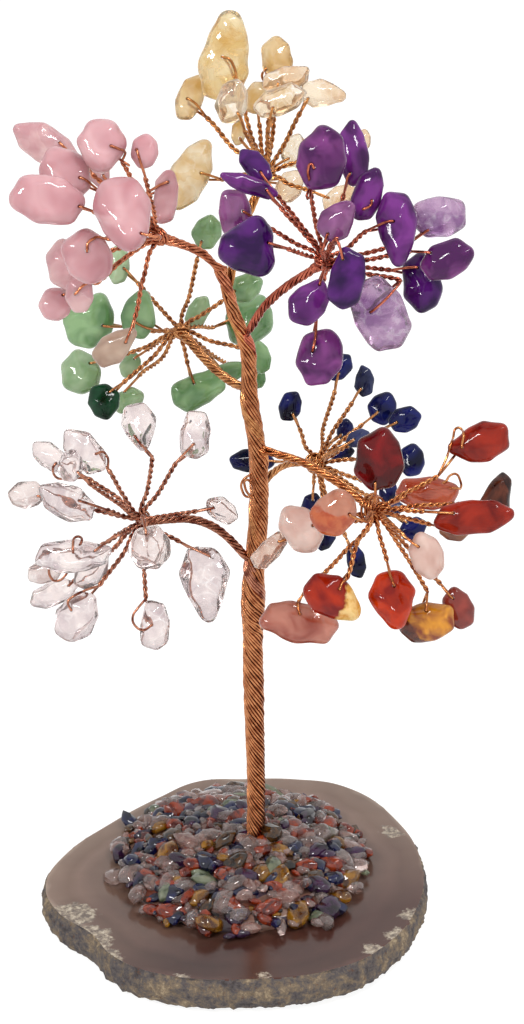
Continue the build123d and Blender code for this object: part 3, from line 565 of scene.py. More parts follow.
# Each row: pixel of the centre, width in pixels, how many degrees its long axis is turned clockwise,
# how many its upper end leans forward, pixel of its bore, its place in front of the trunk as a share
# of the crown's depth, and its look.
STONES = {
    "amethyst_stones_top": (
        ((322, 158), 50, 8, 10, (314, 167), 0.66, "dusty violet"),
        ((353, 153), 32, -5, -8, (350, 175), 0.26, "violet"),
        ((367, 194), 32, 15, 12, (372, 200), 0.56, "violet"),
        ((338, 220), 36, 40, 15, (329, 233), 0.84, "mauve"),
    ),
    "amethyst_stones_right": (
        ((397, 229), 42, 178, 12, (393, 225), 0.72, "violet"),
        ((440, 217), 42, 80, -10, (427, 231), 0.4, "pale lilac"),
        ((447, 259), 40, 65, 10, (431, 253), 0.74, "dusty violet"),
        ((421, 283), 42, -8, -12, (417, 271), 0.46, "indigo"),
    ),
    "amethyst_stones_front": (
        ((347, 279), 36, 15, 14, (343, 258), 1.12, "indigo"),
        ((309, 302), 38, 35, -15, (318, 287), 0.98, "violet"),
    ),
    "amethyst_stones_bottom": (
        ((380, 314), 54, -28, 10, (369, 311), 0.78, "pale lilac"),
        ((319, 357), 49, 10, -10, (312, 354), 0.82, "dusty violet"),
    ),
    "amethyst_stones_left": (
        ((235, 213), 33, -5, 8, (243, 211), 0.42, "mauve"),
        ((246, 247), 62, -95, 10, (266, 244), 0.82, "indigo"),
        ((255, 165), 24, -42, -20, (262, 174), 0.3, "indigo"),
        ((249, 185), 19, -70, 10, (266, 190), 0.52, "violet"),
    ),
    "rose_quartz_stones_top": (
        ((102, 146), 50, 176, 10, (112, 150), 0.46, "rose"),
        ((144, 151), 29, 0, -12, (137, 152), 0.4, "rose"),
        ((96, 168), 26, -20, 12, (103, 175), -0.14, "pale rose"),
    ),
    "rose_quartz_stones_left": (
        ((46, 145), 38, -60, 8, (59, 143), 0.02, "pale rose"),
        ((65, 173), 50, -35, -10, (82, 181), 0.4, "rose"),
        ((47, 200), 50, -78, 10, (78, 207), 0.72, "rose"),
    ),
    "rose_quartz_stones_front": (
        ((124, 214), 58, 165, 12, (142, 236), 0.9, "rose"),
        ((165, 197), 26, 5, -10, (168, 184), -0.08, "rose"),
    ),
    "rose_quartz_stones_lower": (
        ((87, 257), 50, -20, 10, (87, 250), 0.7, "rose"),
        ((66, 265), 44, -20, -8, (82, 258), 0.22, "pale rose"),
        ((79, 294), 30, 5, 10, (76, 293), 0.48, "pale rose"),
    ),
    "rose_quartz_stones_bottom": (
        ((55, 304), 34, 20, -10, (63, 297), 0.2, "rose"),
        ((116, 346), 31, 50, 10, (127, 342), 0.42, "smoky rose"),
    ),
    "citrine_stones_top": (
        ((225, 56), 52, 9, 8, (223, 57), -0.36, "honey"),
        ((190, 97), 28, 20, -10, (187, 101), -0.5, "pale gold"),
    ),
    "citrine_stones_right": (
        ((276, 58), 33, -10, -10, (266, 70), -0.72, "pale gold"),
        ((286, 79), 26, 78, 10, (279, 84), -0.42, "champagne"),
        ((323, 94), 30, 97, -10, (307, 99), -0.42, "champagne"),
    ),
    "citrine_stones_front": (
        ((231, 101), 34, 10, 14, (238, 112), -0.06, "cracked gold"),
        ((280, 100), 30, 68, 10, (274, 108), -0.14, "cracked gold"),
        ((257, 97), 28, 30, -8, (257, 106), -0.7, "pale gold"),
    ),
    "citrine_stones_left": (
        ((190, 174), 40, 28, -12, (200, 176), -0.62, "cream"),
        ((238, 133), 15, 0, 10, (240, 138), -0.74, "pale gold"),
    ),
    "citrine_stones_lower": (
        ((294, 151), 27, 10, 12, (289, 158), -0.62, "cracked gold"),
        ((289, 186), 28, 20, -10, (284, 181), -0.52, "champagne"),
        ((339, 197), 22, 60, 10, (329, 198), -0.34, "champagne"),
        ((361, 141), 20, 10, -10, (355, 146), -0.4, "champagne"),
    ),
    "aventurine_stones_upper": (
        ((207, 232), 30, 20, 10, (202, 241), -0.5, "leaf"),
        ((118, 264), 24, 0, -12, (124, 270), -0.66, "pale leaf"),
        ((139, 314), 36, 10, 14, (136, 320), -0.4, "leaf"),
    ),
    "aventurine_stones_left": (
        ((90, 320), 50, 30, 8, (104, 325), -0.56, "leaf"),
        ((79, 372), 43, -20, -10, (91, 365), -0.72, "pale leaf"),
        ((130, 365), 22, 20, 10, (135, 358), -0.98, "pale leaf"),
    ),
    "aventurine_stones_behind": (
        ((250, 320), 48, 30, -10, (232, 320), -1.02, "moss"),
        ((246, 287), 30, 60, 10, (236, 291), -0.62, "leaf"),
        ((198, 312), 22, 30, 8, (194, 318), -0.92, "pale leaf"),
    ),
    "aventurine_stones_right": (
        ((260, 357), 22, -15, 12, (254, 352), -0.66, "leaf"),
        ((257, 378), 18, 0, -10, (255, 375), -1.14, "moss"),
        ((231, 371), 19, 82, 10, (222, 370), -0.72, "leaf"),
    ),
    "aventurine_stones_bottom": (
        ((199, 390), 34, 65, -8, (193, 384), -0.54, "leaf"),
        ((104, 402), 33, 175, 10, (110, 394), -0.38, "malachite"),
        ((128, 400), 24, 60, -10, (124, 392), -0.84, "pale leaf"),
    ),
    "clear_quartz_stones_top": (
        ((140, 427), 36, 166, 10, (135, 437), 0.38, "clear"),
        ((195, 435), 31, 5, -12, (194, 446), 0.28, "clear"),
        ((84, 451), 33, -42, 8, (96, 453), 0.42, "clear"),
    ),
    "clear_quartz_stones_left": (
        ((49, 456), 25, -50, -10, (57, 464), 0.1, "clear"),
        ((70, 465), 27, 10, 12, (78, 471), 0.72, "clear"),
        ((27, 494), 29, 80, -8, (37, 496), 0.24, "frosty"),
        ((66, 502), 38, -66, 10, (78, 500), 0.56, "clear"),
    ),
    "clear_quartz_stones_front": (
        ((149, 547), 45, 10, -10, (146, 536), 0.98, "frosty"),
        ((222, 510), 24, -56, 10, (213, 507), 0.5, "frosty"),
    ),
    "clear_quartz_stones_lower": (
        ((73, 556), 34, 88, 8, (96, 551), 0.76, "clear"),
        ((91, 570), 30, 40, -10, (101, 560), 0.46, "clear"),
        ((46, 571), 24, 70, 10, (58, 566), 0.3, "frosty"),
        ((54, 593), 25, 70, -10, (68, 586), 0.02, "clear"),
    ),
    "clear_quartz_stones_bottom": (
        ((77, 616), 44, 38, 10, (73, 608), 0.62, "clear"),
        ((155, 625), 30, 2, -8, (152, 626), 0.48, "clear"),
        ((206, 584), 51, 172, 10, (210, 558), 0.6, "clear"),
    ),
    "carnelian_stones_top": (
        ((378, 459), 53, 0, 10, (375, 481), 0.74, "dark red"),
        ((479, 443), 41, -105, -10, (463, 447), 0.62, "red"),
        ((427, 493), 34, 95, 12, (407, 496), 0.42, "rust pink"),
    ),
    "carnelian_stones_right": (
        ((474, 517), 35, 85, 8, (454, 513), 0.84, "red"),
        ((500, 494), 34, 20, -10, (490, 503), 0.6, "smoky"),
        ((455, 531), 21, 90, 10, (449, 530), 0.52, "brown"),
    ),
    "carnelian_stones_left": (
        ((334, 512), 46, 20, 14, (350, 512), 1.02, "half orange"),
        ((300, 529), 42, -45, -10, (314, 527), 0.66, "pale pink"),
        ((269, 551), 22, 45, 10, (279, 541), 0.36, "cracked"),
    ),
    "carnelian_stones_lower": (
        ((334, 598), 44, 122, -10, (338, 588), 0.94, "red and cream"),
        ((393, 600), 48, 170, 10, (394, 588), 0.86, "orange"),
        ((426, 556), 36, -28, 12, (417, 545), 1.1, "pale pink"),
    ),
    "carnelian_stones_bottom": (
        ((299, 623), 42, -78, 8, (298, 613), 0.56, "pink red"),
        ((427, 622), 40, 80, -10, (424, 611), 0.7, "amber"),
        ((458, 608), 32, -20, 10, (452, 597), 0.52, "red brown"),
    ),
    "sodalite_stones_top": (
        ((290, 406), 24, 20, 10, (293, 413), -0.62, "navy"),
        ((340, 367), 22, 40, -10, (338, 374), -0.5, "navy"),
        ((364, 381), 21, -5, 10, (361, 388), -0.72, "grey navy"),
    ),
    "sodalite_stones_upper": (
        ((383, 408), 30, 30, -8, (377, 413), -0.72, "navy"),
        ((405, 419), 27, 70, 12, (398, 422), -0.42, "navy"),
    ),
    "sodalite_stones_middle": (
        ((345, 430), 19, 0, 10, (341, 434), -0.98, "navy"),
        ((358, 438), 18, 60, -10, (353, 440), -0.28, "grey navy"),
        ((342, 453), 16, 80, 8, (336, 454), -0.82, "navy"),
        ((411, 460), 28, 0, -10, (403, 461), -0.56, "navy"),
    ),
    "sodalite_stones_left": (
        ((252, 460), 25, 88, 10, (267, 461), -0.8, "navy"),
        ((311, 507), 22, 10, 12, (313, 499), -0.66, "navy"),
        ((326, 538), 18, 30, -10, (328, 530), -0.44, "navy"),
    ),
    "sodalite_stones_lower": (
        ((356, 561), 19, -10, 10, (352, 552), -0.44, "navy"),
        ((388, 491), 20, 0, -10, (382, 488), -0.48, "navy"),
        ((391, 509), 17, 80, 10, (384, 507), -0.84, "grey navy"),
        ((413, 528), 23, 60, -8, (406, 523), -0.62, "navy"),
    ),
}
# Twigs that come to their stone from aside, by the pixel of the stone's centre and of the twig's end.
TWIG_ENDS = {
    (322, 158): (310, 187), (367, 194): (357, 211), (397, 229): (374, 229), (440, 217): (413, 240),
    (447, 259): (407, 251), (380, 314): (394, 289), (347, 279): (338, 245), (165, 197): (152, 191),
    (225, 56): (240, 96), (276, 58): (269, 92), (124, 214): (158, 243), (49, 456): (88, 478),
    (84, 451): (108, 469), (155, 625): (146, 599), (102, 146): (122, 161), (87, 257): (107, 239),
    (79, 294): (95, 284), (77, 616): (99, 586), (299, 623): (306, 593), (427, 622): (429, 598),
    (334, 598): (346, 580), (479, 443): (438, 476), (140, 427): (146, 451), (195, 435): (182, 461),
}
# Wires seen to lie on a stone in a bend of their own, between its bore and the end of the twig.
BENT_LEGS = {
    (322, 158): [(311, 164), (308, 170), (309, 179)],
    (367, 194): [(371, 205), (364, 209)],
    (102, 146): [(119, 149), (125, 152), (124, 157)],
    (225, 56): [(229, 59), (234, 67), (237, 79)],
    (276, 58): [(262, 75), (264, 81), (268, 86)],
    (87, 257): [(88, 243), (96, 237)],
    (79, 294): [(84, 285), (89, 283)],
    (84, 451): [(103, 452), (108, 458)],
    (49, 456): [(53, 468), (56, 477), (64, 479), (76, 478)],
    (77, 616): [(68, 602), (74, 596), (86, 590)],
    (155, 625): [(143, 630), (134, 624), (133, 616), (138, 608)],
    (479, 443): [(462, 430), (457, 428), (453, 438), (447, 457)],
    (299, 623): [(298, 602), (302, 596)],
    (334, 598): [(342, 583)],
}
# Small loops that stand out of a stone, where a wire was threaded twice.
SPARE_LOOPS = {
    (427, 493): [(445, 482), (451, 475), (456, 474), (460, 480), (461, 487), (454, 488)],
    (73, 556): [(73, 552), (73, 544), (76, 537), (80, 537), (81, 543)],
    (46, 571): [(48, 565), (50, 576), (57, 581), (64, 577), (67, 568)],
}
WIRE_RADIUS = 0.19 * MM
BORE_RADIUS = 0.25 * MM
# Far enough out from a bore, in millimetres, to be clear of any stone.
CLEAR_OF_STONE = 9


class Gem:
    """Where one stone lies: its centre, its axes and its bore."""

    def __init__(self, row):
        centre, width, turn, lean, bore, depth_share, self.look = row
        self.pixel, self.depth_share = centre, depth_share
        self.centre = place(centre, depth_share)
        self.width = width * pixel_at(self.centre)
        upright = VIEW_UP * cos(radians(turn)) + VIEW_RIGHT * sin(radians(turn))
        self.along = (upright * cos(radians(lean)) - VIEW_FORWARD * sin(radians(lean))).normalized()
        self.across = self.along.cross(VIEW_FORWARD).normalized() * -1
        self.out = self.across.cross(self.along).normalized()
        if self.out.dot(VIEW_FORWARD) > 0:
            self.out = self.out * -1
        line = (place(bore, depth_share) - EYE).normalized()
        self.bore = EYE + line * ((self.centre - EYE).dot(self.out) / line.dot(self.out))


def loose_chips(node_name):
    """The chips of a CAD node as separate copies, with their bores closed."""
    source = frame["nodes"][node_name]
    copy = source.copy()
    copy.data = source.data.copy()
    copy.parent = None
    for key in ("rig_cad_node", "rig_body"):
        del copy[key]
    copy.data.materials.clear()
    bpy.context.scene.collection.objects.link(copy)
    edit(copy)
    bpy.ops.mesh.remove_doubles(threshold=0.005 * MM)
    bpy.ops.mesh.separate(type="LOOSE")
    leave_edit()
    return list(bpy.context.selected_objects)


def middle_of(obj):
    corners = [Vector(c) for c in obj.bound_box]
    return sum(corners, Vector()) / 8


def box_on_axes(chip, stone):
    """Middle and size of a chip on the three axes of its stone."""
    middle, size = stone.centre.copy(), []
    for axis in (stone.across, stone.along, stone.out):
        places = [(v.co - stone.centre).dot(axis) for v in chip.data.vertices]
        low, high = min(places), max(places)
        middle += axis * (low + high) / 2
        size.append(high - low)
    return middle, size


def keep_in_box(chip):
    """Squeezes a chip a little where it stands out of the box of all the solids."""
    for axis in range(3):
        places = [v.co[axis] for v in chip.data.vertices]
        low, high = min(places), max(places)
        new_low, new_high = max(low, cad_box[0][axis]), min(high, cad_box[1][axis])
        if (new_low, new_high) != (low, high):
            for v in chip.data.vertices:
                v.co[axis] = new_low + (v.co[axis] - low) * (new_high - new_low) / (high - low)


def stretched(stone, middle, ratios, old_middle):
    """Matrix that scales along the stone's own axes and moves its middle."""
    axes = Matrix((stone.across, stone.along, stone.out)).transposed().to_4x4()
    scale = Matrix.Diagonal((*ratios, 1))
    return Matrix.Translation(middle) @ axes @ scale @ axes.inverted() @ Matrix.Translation(-old_middle)


ball = added(bpy.ops.mesh.primitive_ico_sphere_add, subdivisions=3, radius=1)
BALL = [v.co.copy() for v in ball.data.vertices]
bpy.data.objects.remove(ball)
# Roundness of the edges: in the stone's outline as a share of its width, and over its thickness.
OUTLINE_ROUND = 0.2
EDGE_ROUND = 0.36
# How round the edges of some looks are, as a share of the others' roundness.
EDGE_SHARES = {
    "clear": 0.8, "frosty": 0.9, "cracked": 0.7, "cracked gold": 0.8, "smoky": 0.5, "malachite": 0.8,
    "grey navy": 0.8, "rose": 1.4, "honey": 1.5, "pale pink": 1.3,
}
SKIN_GRAIN = 0.24 * MM
dents = clouds("dents", 4.2 * MM, 1)
DENT_SHARE = 0.24
# A stone of this width gets this many rounds of polish, a wider one more.
POLISHED_WIDTH = 5 * MM
POLISH_ROUNDS = 6


def tumble(chip, stone):
    """Rounds a chip as tumbling does: a ball in each corner, a skin over them, dents and polish."""
    hull(chip)
    middle, size = box_on_axes(chip, stone)
    round_share = EDGE_SHARES.get(stone.look, 1.0)
    ball = [OUTLINE_ROUND * round_share * min(size[:2])] * 2 + [EDGE_ROUND * round_share * size[2]]
    inset = stretched(stone, middle, [1 - 2 * part / full for part, full in zip(ball, size)], middle)
    corners = [inset @ v.co for v in chip.data.vertices]
    spokes = [stone.across * v.x * ball[0] + stone.along * v.y * ball[1] + stone.out * v.z * ball[2]
              for v in BALL]
    chip.data = bpy.data.meshes.new("balls")
    chip.data.from_pydata([corner + spoke for corner in corners for spoke in spokes], [], [])
    hull(chip)
    skin = chip.modifiers.new("skin", "REMESH")
    skin.mode, skin.voxel_size = "VOXEL", SKIN_GRAIN
    displace(chip, dents, DENT_SHARE * min(size), 0.5)
    smooth = chip.modifiers.new("polish", "SMOOTH")
    smooth.factor, smooth.iterations = 0.5, round(POLISH_ROUNDS * (stone.width / POLISHED_WIDTH) ** 1.5)
    settle(chip)
    new_middle, new_size = box_on_axes(chip, stone)
    chip.data.transform(stretched(stone, middle, [a / b for a, b in zip(size, new_size)], new_middle))
    keep_in_box(chip)


def drill(chip, stone):
    """Cuts the bore through a tumbled chip."""
    facing = stone.out.to_track_quat("Z", "Y").to_euler()
    drill_bit = added(bpy.ops.mesh.primitive_cylinder_add, vertices=14, radius=BORE_RADIUS,
                      depth=stone.width * 2, location=stone.bore, rotation=facing)
    cut = chip.modifiers.new("bore", "BOOLEAN")
    cut.operation, cut.object, cut.solver = "DIFFERENCE", drill_bit, "EXACT"
    settle(chip)
    bpy.data.objects.remove(drill_bit)
    only(chip)
    bpy.ops.object.shade_smooth_by_angle(angle=radians(40))


gems = {}
for node_name, rows in STONES.items():
    stones = gems[node_name] = [Gem(row) for row in rows]
    chips = loose_chips(node_name)
    for stone in stones:
        stone.chip = min(chips, key=lambda c: (middle_of(c) - stone.centre).length)
        chips.remove(stone.chip)
        tumble(stone.chip, stone)
        stone.skin = BVHTree.FromObject(stone.chip, bpy.context.evaluated_depsgraph_get())
        stone.points = [v.co.copy() for v in stone.chip.data.vertices]
        drill(stone.chip, stone)
        stone.chip.data.materials.append(look(stone.look))
    kind = node_name.split("_stones_")[0]
    hand_over(join(f"tumbled_{node_name}", [stone.chip for stone in stones]), kind, node_name)

# Trunk and branches: wires laid up left-handed

TRUNK_LAY = 12.5 * MM
BRANCH_LAY = 6.5 * MM
LAID_RADIUS = WIRE_RADIUS
# From the middle of a wire to the middle of the next, round a bundle and where a branch leaves the trunk.
LAID_SPACING = 2.1 * LAID_RADIUS
BAND_SPACING = 2.2 * LAID_RADIUS
# How far under the crests of the wires their common heart lies.
HEART_DEPTH = 0.29 * MM
HEART_POINTS = 60
# How far a wire dives to end out of sight inside the trunk.
DIVE = 0.7 * MM
TRUNK_STEP = 0.5 * MM
BRANCH_STEP = 0.4 * MM
# This many wires of a branch are seen to come up the trunk over a length, the others start inside it.
BAND_WIRES = 4
BAND_LENGTH = 12 * MM
HIDDEN_LENGTH = 0.6 * MM
SPARE_TURN = [
    ((256, 474), 0.0), ((248, 476), 0.05), ((242, 482), 0.06), ((242, 490), 0.05), ((248, 497), 0.04),
    ((253, 492), 0.06), ((251, 483), 0.09), ((246, 480), 0.1), ((245, 487), 0.09), ((251, 497), 0.05),
    ((257, 502), 0.0),
]
TRUNK_ROUTE = [
    (255, 868), (256, 782), (254, 701), (253, 632), (254, 575), (259, 506), (257, 448), (250, 400),
    (247, 350), (233, 310), (220, 268),
]
TRUNK_SHARES = (1.0, 0.97, 0.98, 1.06, 1.04, 1.08, 0.98, 0.92, 0.84, 0.68, 0.5)
TRUNK_RADII = [1.45 * MM * share for share in TRUNK_SHARES]
# Half way up, where the wires cross, the trunk swells.
SWELL, SWELL_HEIGHT, SWELL_LENGTH = 0.28 * MM, 45 * MM, 5.5 * MM
# How far up the trunk each branch leaves it, its bend and its knot, and its radius.
BRANCHES = {
    "rose_quartz": (1.0, ((200, 252), 0.1), ((160, 237), 0.25), 0.66 * MM),
    "amethyst": (0.885, ((268, 303), 0.2), ((324, 262), 0.5), 0.64 * MM),
    "citrine": (0.96, ((240, 236), -0.16), ((266, 174), -0.36), 0.64 * MM),
    "aventurine": (0.8, ((216, 370), -0.26), ((181, 331), -0.6), 0.7 * MM),
    "clear_quartz": (0.525, ((203, 522), 0.16), ((142, 521), 0.36), 0.64 * MM),
    "carnelian": (0.71, ((304, 463), 0.22), ((374, 509), 0.6), 0.61 * MM),
    "sodalite": (0.65, ((281, 467), -0.24), ((315, 463), -0.6), 0.54 * MM),
}
trunk = Route(drawn_line([place(pixel, 0) for pixel in TRUNK_ROUTE], 16), VIEW_FORWARD)


def trunk_radius(distance):
    swell = SWELL * ease(1 - abs(distance - SWELL_HEIGHT) / SWELL_LENGTH)
    return between(TRUNK_RADII, distance / trunk.length) + swell


def wires_round(radius, lay):
    """How many wires lie side by side round a bundle of a radius, not quite touching."""
    round_it = 2 * pi * (radius - LAID_RADIUS)
    return round_it * lay / hypot(lay, round_it) / LAID_SPACING


def trunk_wire(index):
    """One wire of the trunk, from the slice up to where the trunk has no more room for it."""
    line = []
    for k in range(int(trunk.length / TRUNK_STEP) + 1):
        distance = k * TRUNK_STEP
        room = wires_round(trunk_radius(distance), TRUNK_LAY)
        # Each wire wanders a little by itself, and all of them wander together.
        wander = 0.12 * soft_noise(index * 5.1, distance / (9 * MM), 1)
        wander += 0.5 * soft_noise(distance / (14 * MM), 3, 5)
        # The next wire comes up between the others as soon as there is nearly room for it.
        side_by_side = int(room) + ease(2 * (room % 1) - 1)
        angle = 2 * pi * index / side_by_side - 2 * pi * distance / TRUNK_LAY + wander
        lift = 0.14 * MM * soft_noise(index * 3.3, distance / (6 * MM), 7)
        # All dive at the top, and one that finds no room yet stays below.
        dive = DIVE * ease((distance - trunk.length + 3 * MM) / (3 * MM))
        dive += DIVE * (1 - ease(2 * (room - index) - 1))
        line.append(trunk.on_ring(distance, angle, trunk_radius(distance) - LAID_RADIUS + lift - dive))
    return line


most = int(wires_round(max(TRUNK_RADII) + SWELL, TRUNK_LAY)) + 1
# A turn of spare wire stands out of the trunk on its left.
spare_turn = drawn_line([place(pixel, share) for pixel, share in SPARE_TURN], 6)
trunk_lines = [trunk_wire(k) for k in range(most)] + [spare_turn]
heart_marks = [trunk.length * k / (HEART_POINTS - 1) for k in range(HEART_POINTS)]
heart_line = [trunk.at(mark)[0] for mark in heart_marks]
heart_widths = [(trunk_radius(mark) - HEART_DEPTH) / MM for mark in heart_marks]
# The core under the wires shows in their gaps in dark copper, as painted shade.
trunk_piece = join("trunk_laid_wires", [
    wires("laid", trunk_lines, LAID_RADIUS, "trunk", 8),
    wires("heart", [heart_line], MM, "heart", 10, heart_widths)])
hand_over(trunk_piece, "copper", "trunk")

branches = {}
for kind, (start_share, bend, end, radius) in BRANCHES.items():
    joint = trunk.length * start_share
    start, _, spoke, side = trunk.at(joint)
    branch = branches[kind] = Route(drawn_line([start, place(*bend), place(*end)], 24), VIEW_FORWARD)
    away = branch.at(3 * MM)[0] - start
    facing = atan2(away.dot(side), away.dot(spoke))
    lines = []
    count = int(wires_round(radius, BRANCH_LAY))
    for k in range(count):
        band_angle = facing + (k - (BAND_WIRES - 1) / 2) * BAND_SPACING / trunk_radius(joint)
        line = []
        distance = -BAND_LENGTH if k < BAND_WIRES else -HIDDEN_LENGTH
        while distance < branch.length:
            around = 2 * pi * k / count - 2 * pi * distance / BRANCH_LAY
            around += 0.15 * soft_noise(k * 4.7, distance / (6 * MM), len(kind))
            # The wires close in on the knot, and near the trunk they change over to its lay.
            tip = 0.4 * ease((distance - branch.length + 2 * MM) / (2 * MM))
            lift = 0.1 * MM * soft_noise(k * 2.9, distance / (4 * MM), 3)
            spot = branch.on_ring(max(distance, 0), around, (radius - LAID_RADIUS) * (1 - tip) + lift)
            if distance < 4 * MM:
                mark = joint + min(distance, MM)
                angle = band_angle - 2 * pi * (mark - joint) / TRUNK_LAY
                sink = 0.24 * MM - 0.5 * MM * ease(-distance / BAND_LENGTH)
                on_trunk = trunk.on_ring(mark, angle, trunk_radius(mark) - LAID_RADIUS + sink)
                spot = on_trunk.lerp(spot, ease((distance + MM) / (5 * MM)))
            line.append(spot)
            distance += BRANCH_STEP
        lines.append(line)
    # The branch's core shows in its gaps as painted shade too.
    heart_line = [branch.at(branch.length * k / 24)[0] for k in range(24)]
    piece = join(f"{kind}_branch_laid_wires", [
        wires("laid", lines, LAID_RADIUS, kind, 8),
        wires("heart", [heart_line], radius - HEART_DEPTH, "heart", 8)])
    hand_over(piece, "copper", f"{kind}_branch")

# Twigs: one wire folded through each stone and twisted back on itself

TWIST = 2.0 * MM
POINTS_A_TWIST = 10
# How many loose turns of wire lie round each knot, and how wide the widest is.
TANGLE = {
    "rose_quartz": (6, 1.5 * MM),
    "amethyst": (5, 1.5 * MM),
    "citrine": (3, 1.2 * MM),
    "aventurine": (7, 1.6 * MM),
    "clear_quartz": (5, 1.5 * MM),
    "carnelian": (14, 2.4 * MM),
    "sodalite": (7, 1.6 * MM),
}
# A loose turn goes on past a full one.
CURL_POINTS = 22
POINTS_A_TURN = 14
# How far past the edge of its stone a loop closes.
LOOP_REACH = 1.3 * MM
LEG_STEPS = 14


def taut(profile):
    """Upper hull of (distance, height) points, as a pulled wire lies over a stone."""
    line = []
    for point in profile:
        while len(line) > 1:
            (x1, y1), (x2, y2) = line[-2:]
            if (x2 - x1) * (point[1] - y1) >= (y2 - y1) * (point[0] - x1):
                line.pop()
            else:
                break
        line.append(point)
    return line


def leg(stone, away, tip, side):
    """Half of the loop, from the middle of the bore over one face to the neck."""
    out = stone.out * side
    profile = []
    for k in range(LEG_STEPS + 1):
        s = BORE_RADIUS + (tip - LOOP_REACH - BORE_RADIUS) * k / LEG_STEPS
        hit = stone.skin.ray_cast(stone.bore + away * s + out * CLEAR_OF_STONE * MM, -out)[0]
        if hit is not None:
            profile.append((s, (hit - stone.bore).dot(out) + WIRE_RADIUS))
    pulled = taut(profile + [(tip, WIRE_RADIUS)])
    height = pulled[0][1]
    bow = dice.uniform(-0.25, 0.25) * MM
    across = away.cross(out).normalized()
    points = [stone.bore, stone.bore + out * (height * 0.55)]
    points.append(stone.bore + out * (height * 0.93) + away * 0.06 * MM)
    for s, h in pulled:
        points.append(stone.bore + away * s + out * h + across * bow * sin(pi * min(s / tip, 1)))
    return points


def on_stone(stone, pixel, fallback):
    """Point where a wire lies on a stone at a pixel, or the fallback's depth beside the stone."""
    ray = (place(pixel, stone.depth_share) - EYE).normalized()
    hit = stone.skin.ray_cast(EYE, ray)[0]
    if hit is not None:
        return hit - ray * WIRE_RADIUS
    return EYE + ray * ((fallback - EYE).dot(VIEW_FORWARD) / ray.dot(VIEW_FORWARD))


def bent_leg(stone, pixels, neck):
    """Half of a loop that lies on the stone in a bend of its own, seen at these pixels."""
    outside = stone.bore + stone.out * CLEAR_OF_STONE * MM
    opening = stone.skin.ray_cast(outside, -stone.out)[0] or stone.bore
    seen = drawn_line([Vector((*pixel, 0)) for pixel in (seen_at(opening), *pixels)], 6)
    return [stone.bore, stone.bore.lerp(opening, 0.7)] + [on_stone(stone, spot[:2], neck) for spot in seen]


def folded_wire(stone, branch):
    """The whole line of one wire: up one strand, through the stone, down the other strand."""
    knot = branch.points[-1]
    home = knot - stone.bore
    if stone.pixel in TWIG_ENDS:
        home = place(TWIG_ENDS[stone.pixel], stone.depth_share) - stone.bore
    away = (home - stone.out * home.dot(stone.out)).normalized()
    tip = max((p - stone.bore).dot(away) for p in stone.points) + LOOP_REACH
    neck = stone.bore + away * tip
    if stone.pixel in BENT_LEGS and stone.pixel in TWIG_ENDS:
        neck = place(TWIG_ENDS[stone.pixel], stone.depth_share)
    toward = (neck - knot).normalized()
    back = (branch.at(branch.length - 2 * MM)[0] - knot).normalized()
    fan = (toward - back * toward.dot(back)).normalized()
    reach = (neck - knot).length
    # From under the knot's turns the pair goes nearly straight to its neck.
    sway = astray() * 0.04 * reach
    sway = sway - toward * sway.dot(toward)
    path = [
        knot + back * 2.2 * MM + fan * 0.4 * MM,
        knot + fan * 0.35 * MM + toward * 0.4 * MM,
        knot + toward * reach * 0.5 + sway,
        neck + (knot - neck).normalized() * 0.9 * MM + away * 0.1 * MM,
        neck,
    ]
    pair = Route(drawn_line(path, 10), stone.out)
    _, _, spoke, side = pair.at(pair.length)
    last = atan2(stone.out.dot(side), stone.out.dot(spoke))
    strands = [[], []]
    steps = int(pair.length / TWIST * POINTS_A_TWIST)
    for k in range(steps + 1):
        distance = pair.length * k / steps
        angle = last + 2 * pi * (pair.length - distance) / TWIST
        opening = ease((distance - pair.length + 0.5 * MM) / (0.5 * MM))
        for strand, half in zip(strands, (0, pi)):
            strand.append(pair.on_ring(distance, angle + half, WIRE_RADIUS * (1.0 + 0.15 * opening)))
    # A bent leg draws its random bow too, so that those of all other legs stay as they are.
    front_leg = leg(stone, away, tip, 1)
    if stone.pixel in BENT_LEGS:
        front_leg = [*bent_leg(stone, BENT_LEGS[stone.pixel], neck), neck]
    front = drawn_line([strands[0][-1], *reversed(front_leg)], 3)
    rear = drawn_line([*leg(stone, away, tip, -1), strands[1][-1]], 3)
    return strands[0] + front[1:] + rear[1:] + list(reversed(strands[1]))[1:]


for kind, branch in branches.items():
    lines = []
    for node_name, stones in gems.items():
        if node_name.startswith(kind):
            lines += [folded_wire(stone, branch) for stone in stones]
            for stone in stones:
                if stone.pixel in SPARE_LOOPS:
                    loop = [on_stone(stone, pixel, stone.centre) for pixel in SPARE_LOOPS[stone.pixel]]
                    start, end = [stone.centre.lerp(spot, 0.8) for spot in (loop[0], loop[-1])]
                    lines.append(drawn_line([start, *loop, end], 6))
    knot = branch.points[-1]
    back = branch.at(branch.length - MM)[1]
    turns, widest = TANGLE[kind]
    for k in range(turns):
        lean = (back + astray() * 0.7).normalized()
        spoke = lean.orthogonal().normalized()
        side = lean.cross(spoke)
        size = dice.uniform(0.7 * MM, widest)
        curl = []
        for i in range(CURL_POINTS):
            turn = 2 * pi * i / POINTS_A_TURN + k
            middle = knot + lean * (0.5 * MM * (i / CURL_POINTS - 0.5))
            middle -= back * dice.uniform(0.0, 0.02) * MM
            arm = (spoke * cos(turn) + side * sin(turn)) * size * (1 - 0.3 * i / CURL_POINTS)
            curl.append(middle + arm)
        lines.append(drawn_line(curl, 2))
    hand_over(wires(f"{kind}_twisted_twigs", lines, WIRE_RADIUS, kind), "copper", f"{kind}_twigs")

# Slice of agate

SLICE_RIM = [
    (245, 779), (292, 779), (343, 786), (398, 822), (422, 868), (418, 905), (388, 943), (344, 966),
    (252, 979), (152, 972), (112, 955), (92, 934), (58, 912), (46, 884), (66, 854), (108, 825),
    (160, 797), (200, 781),
]
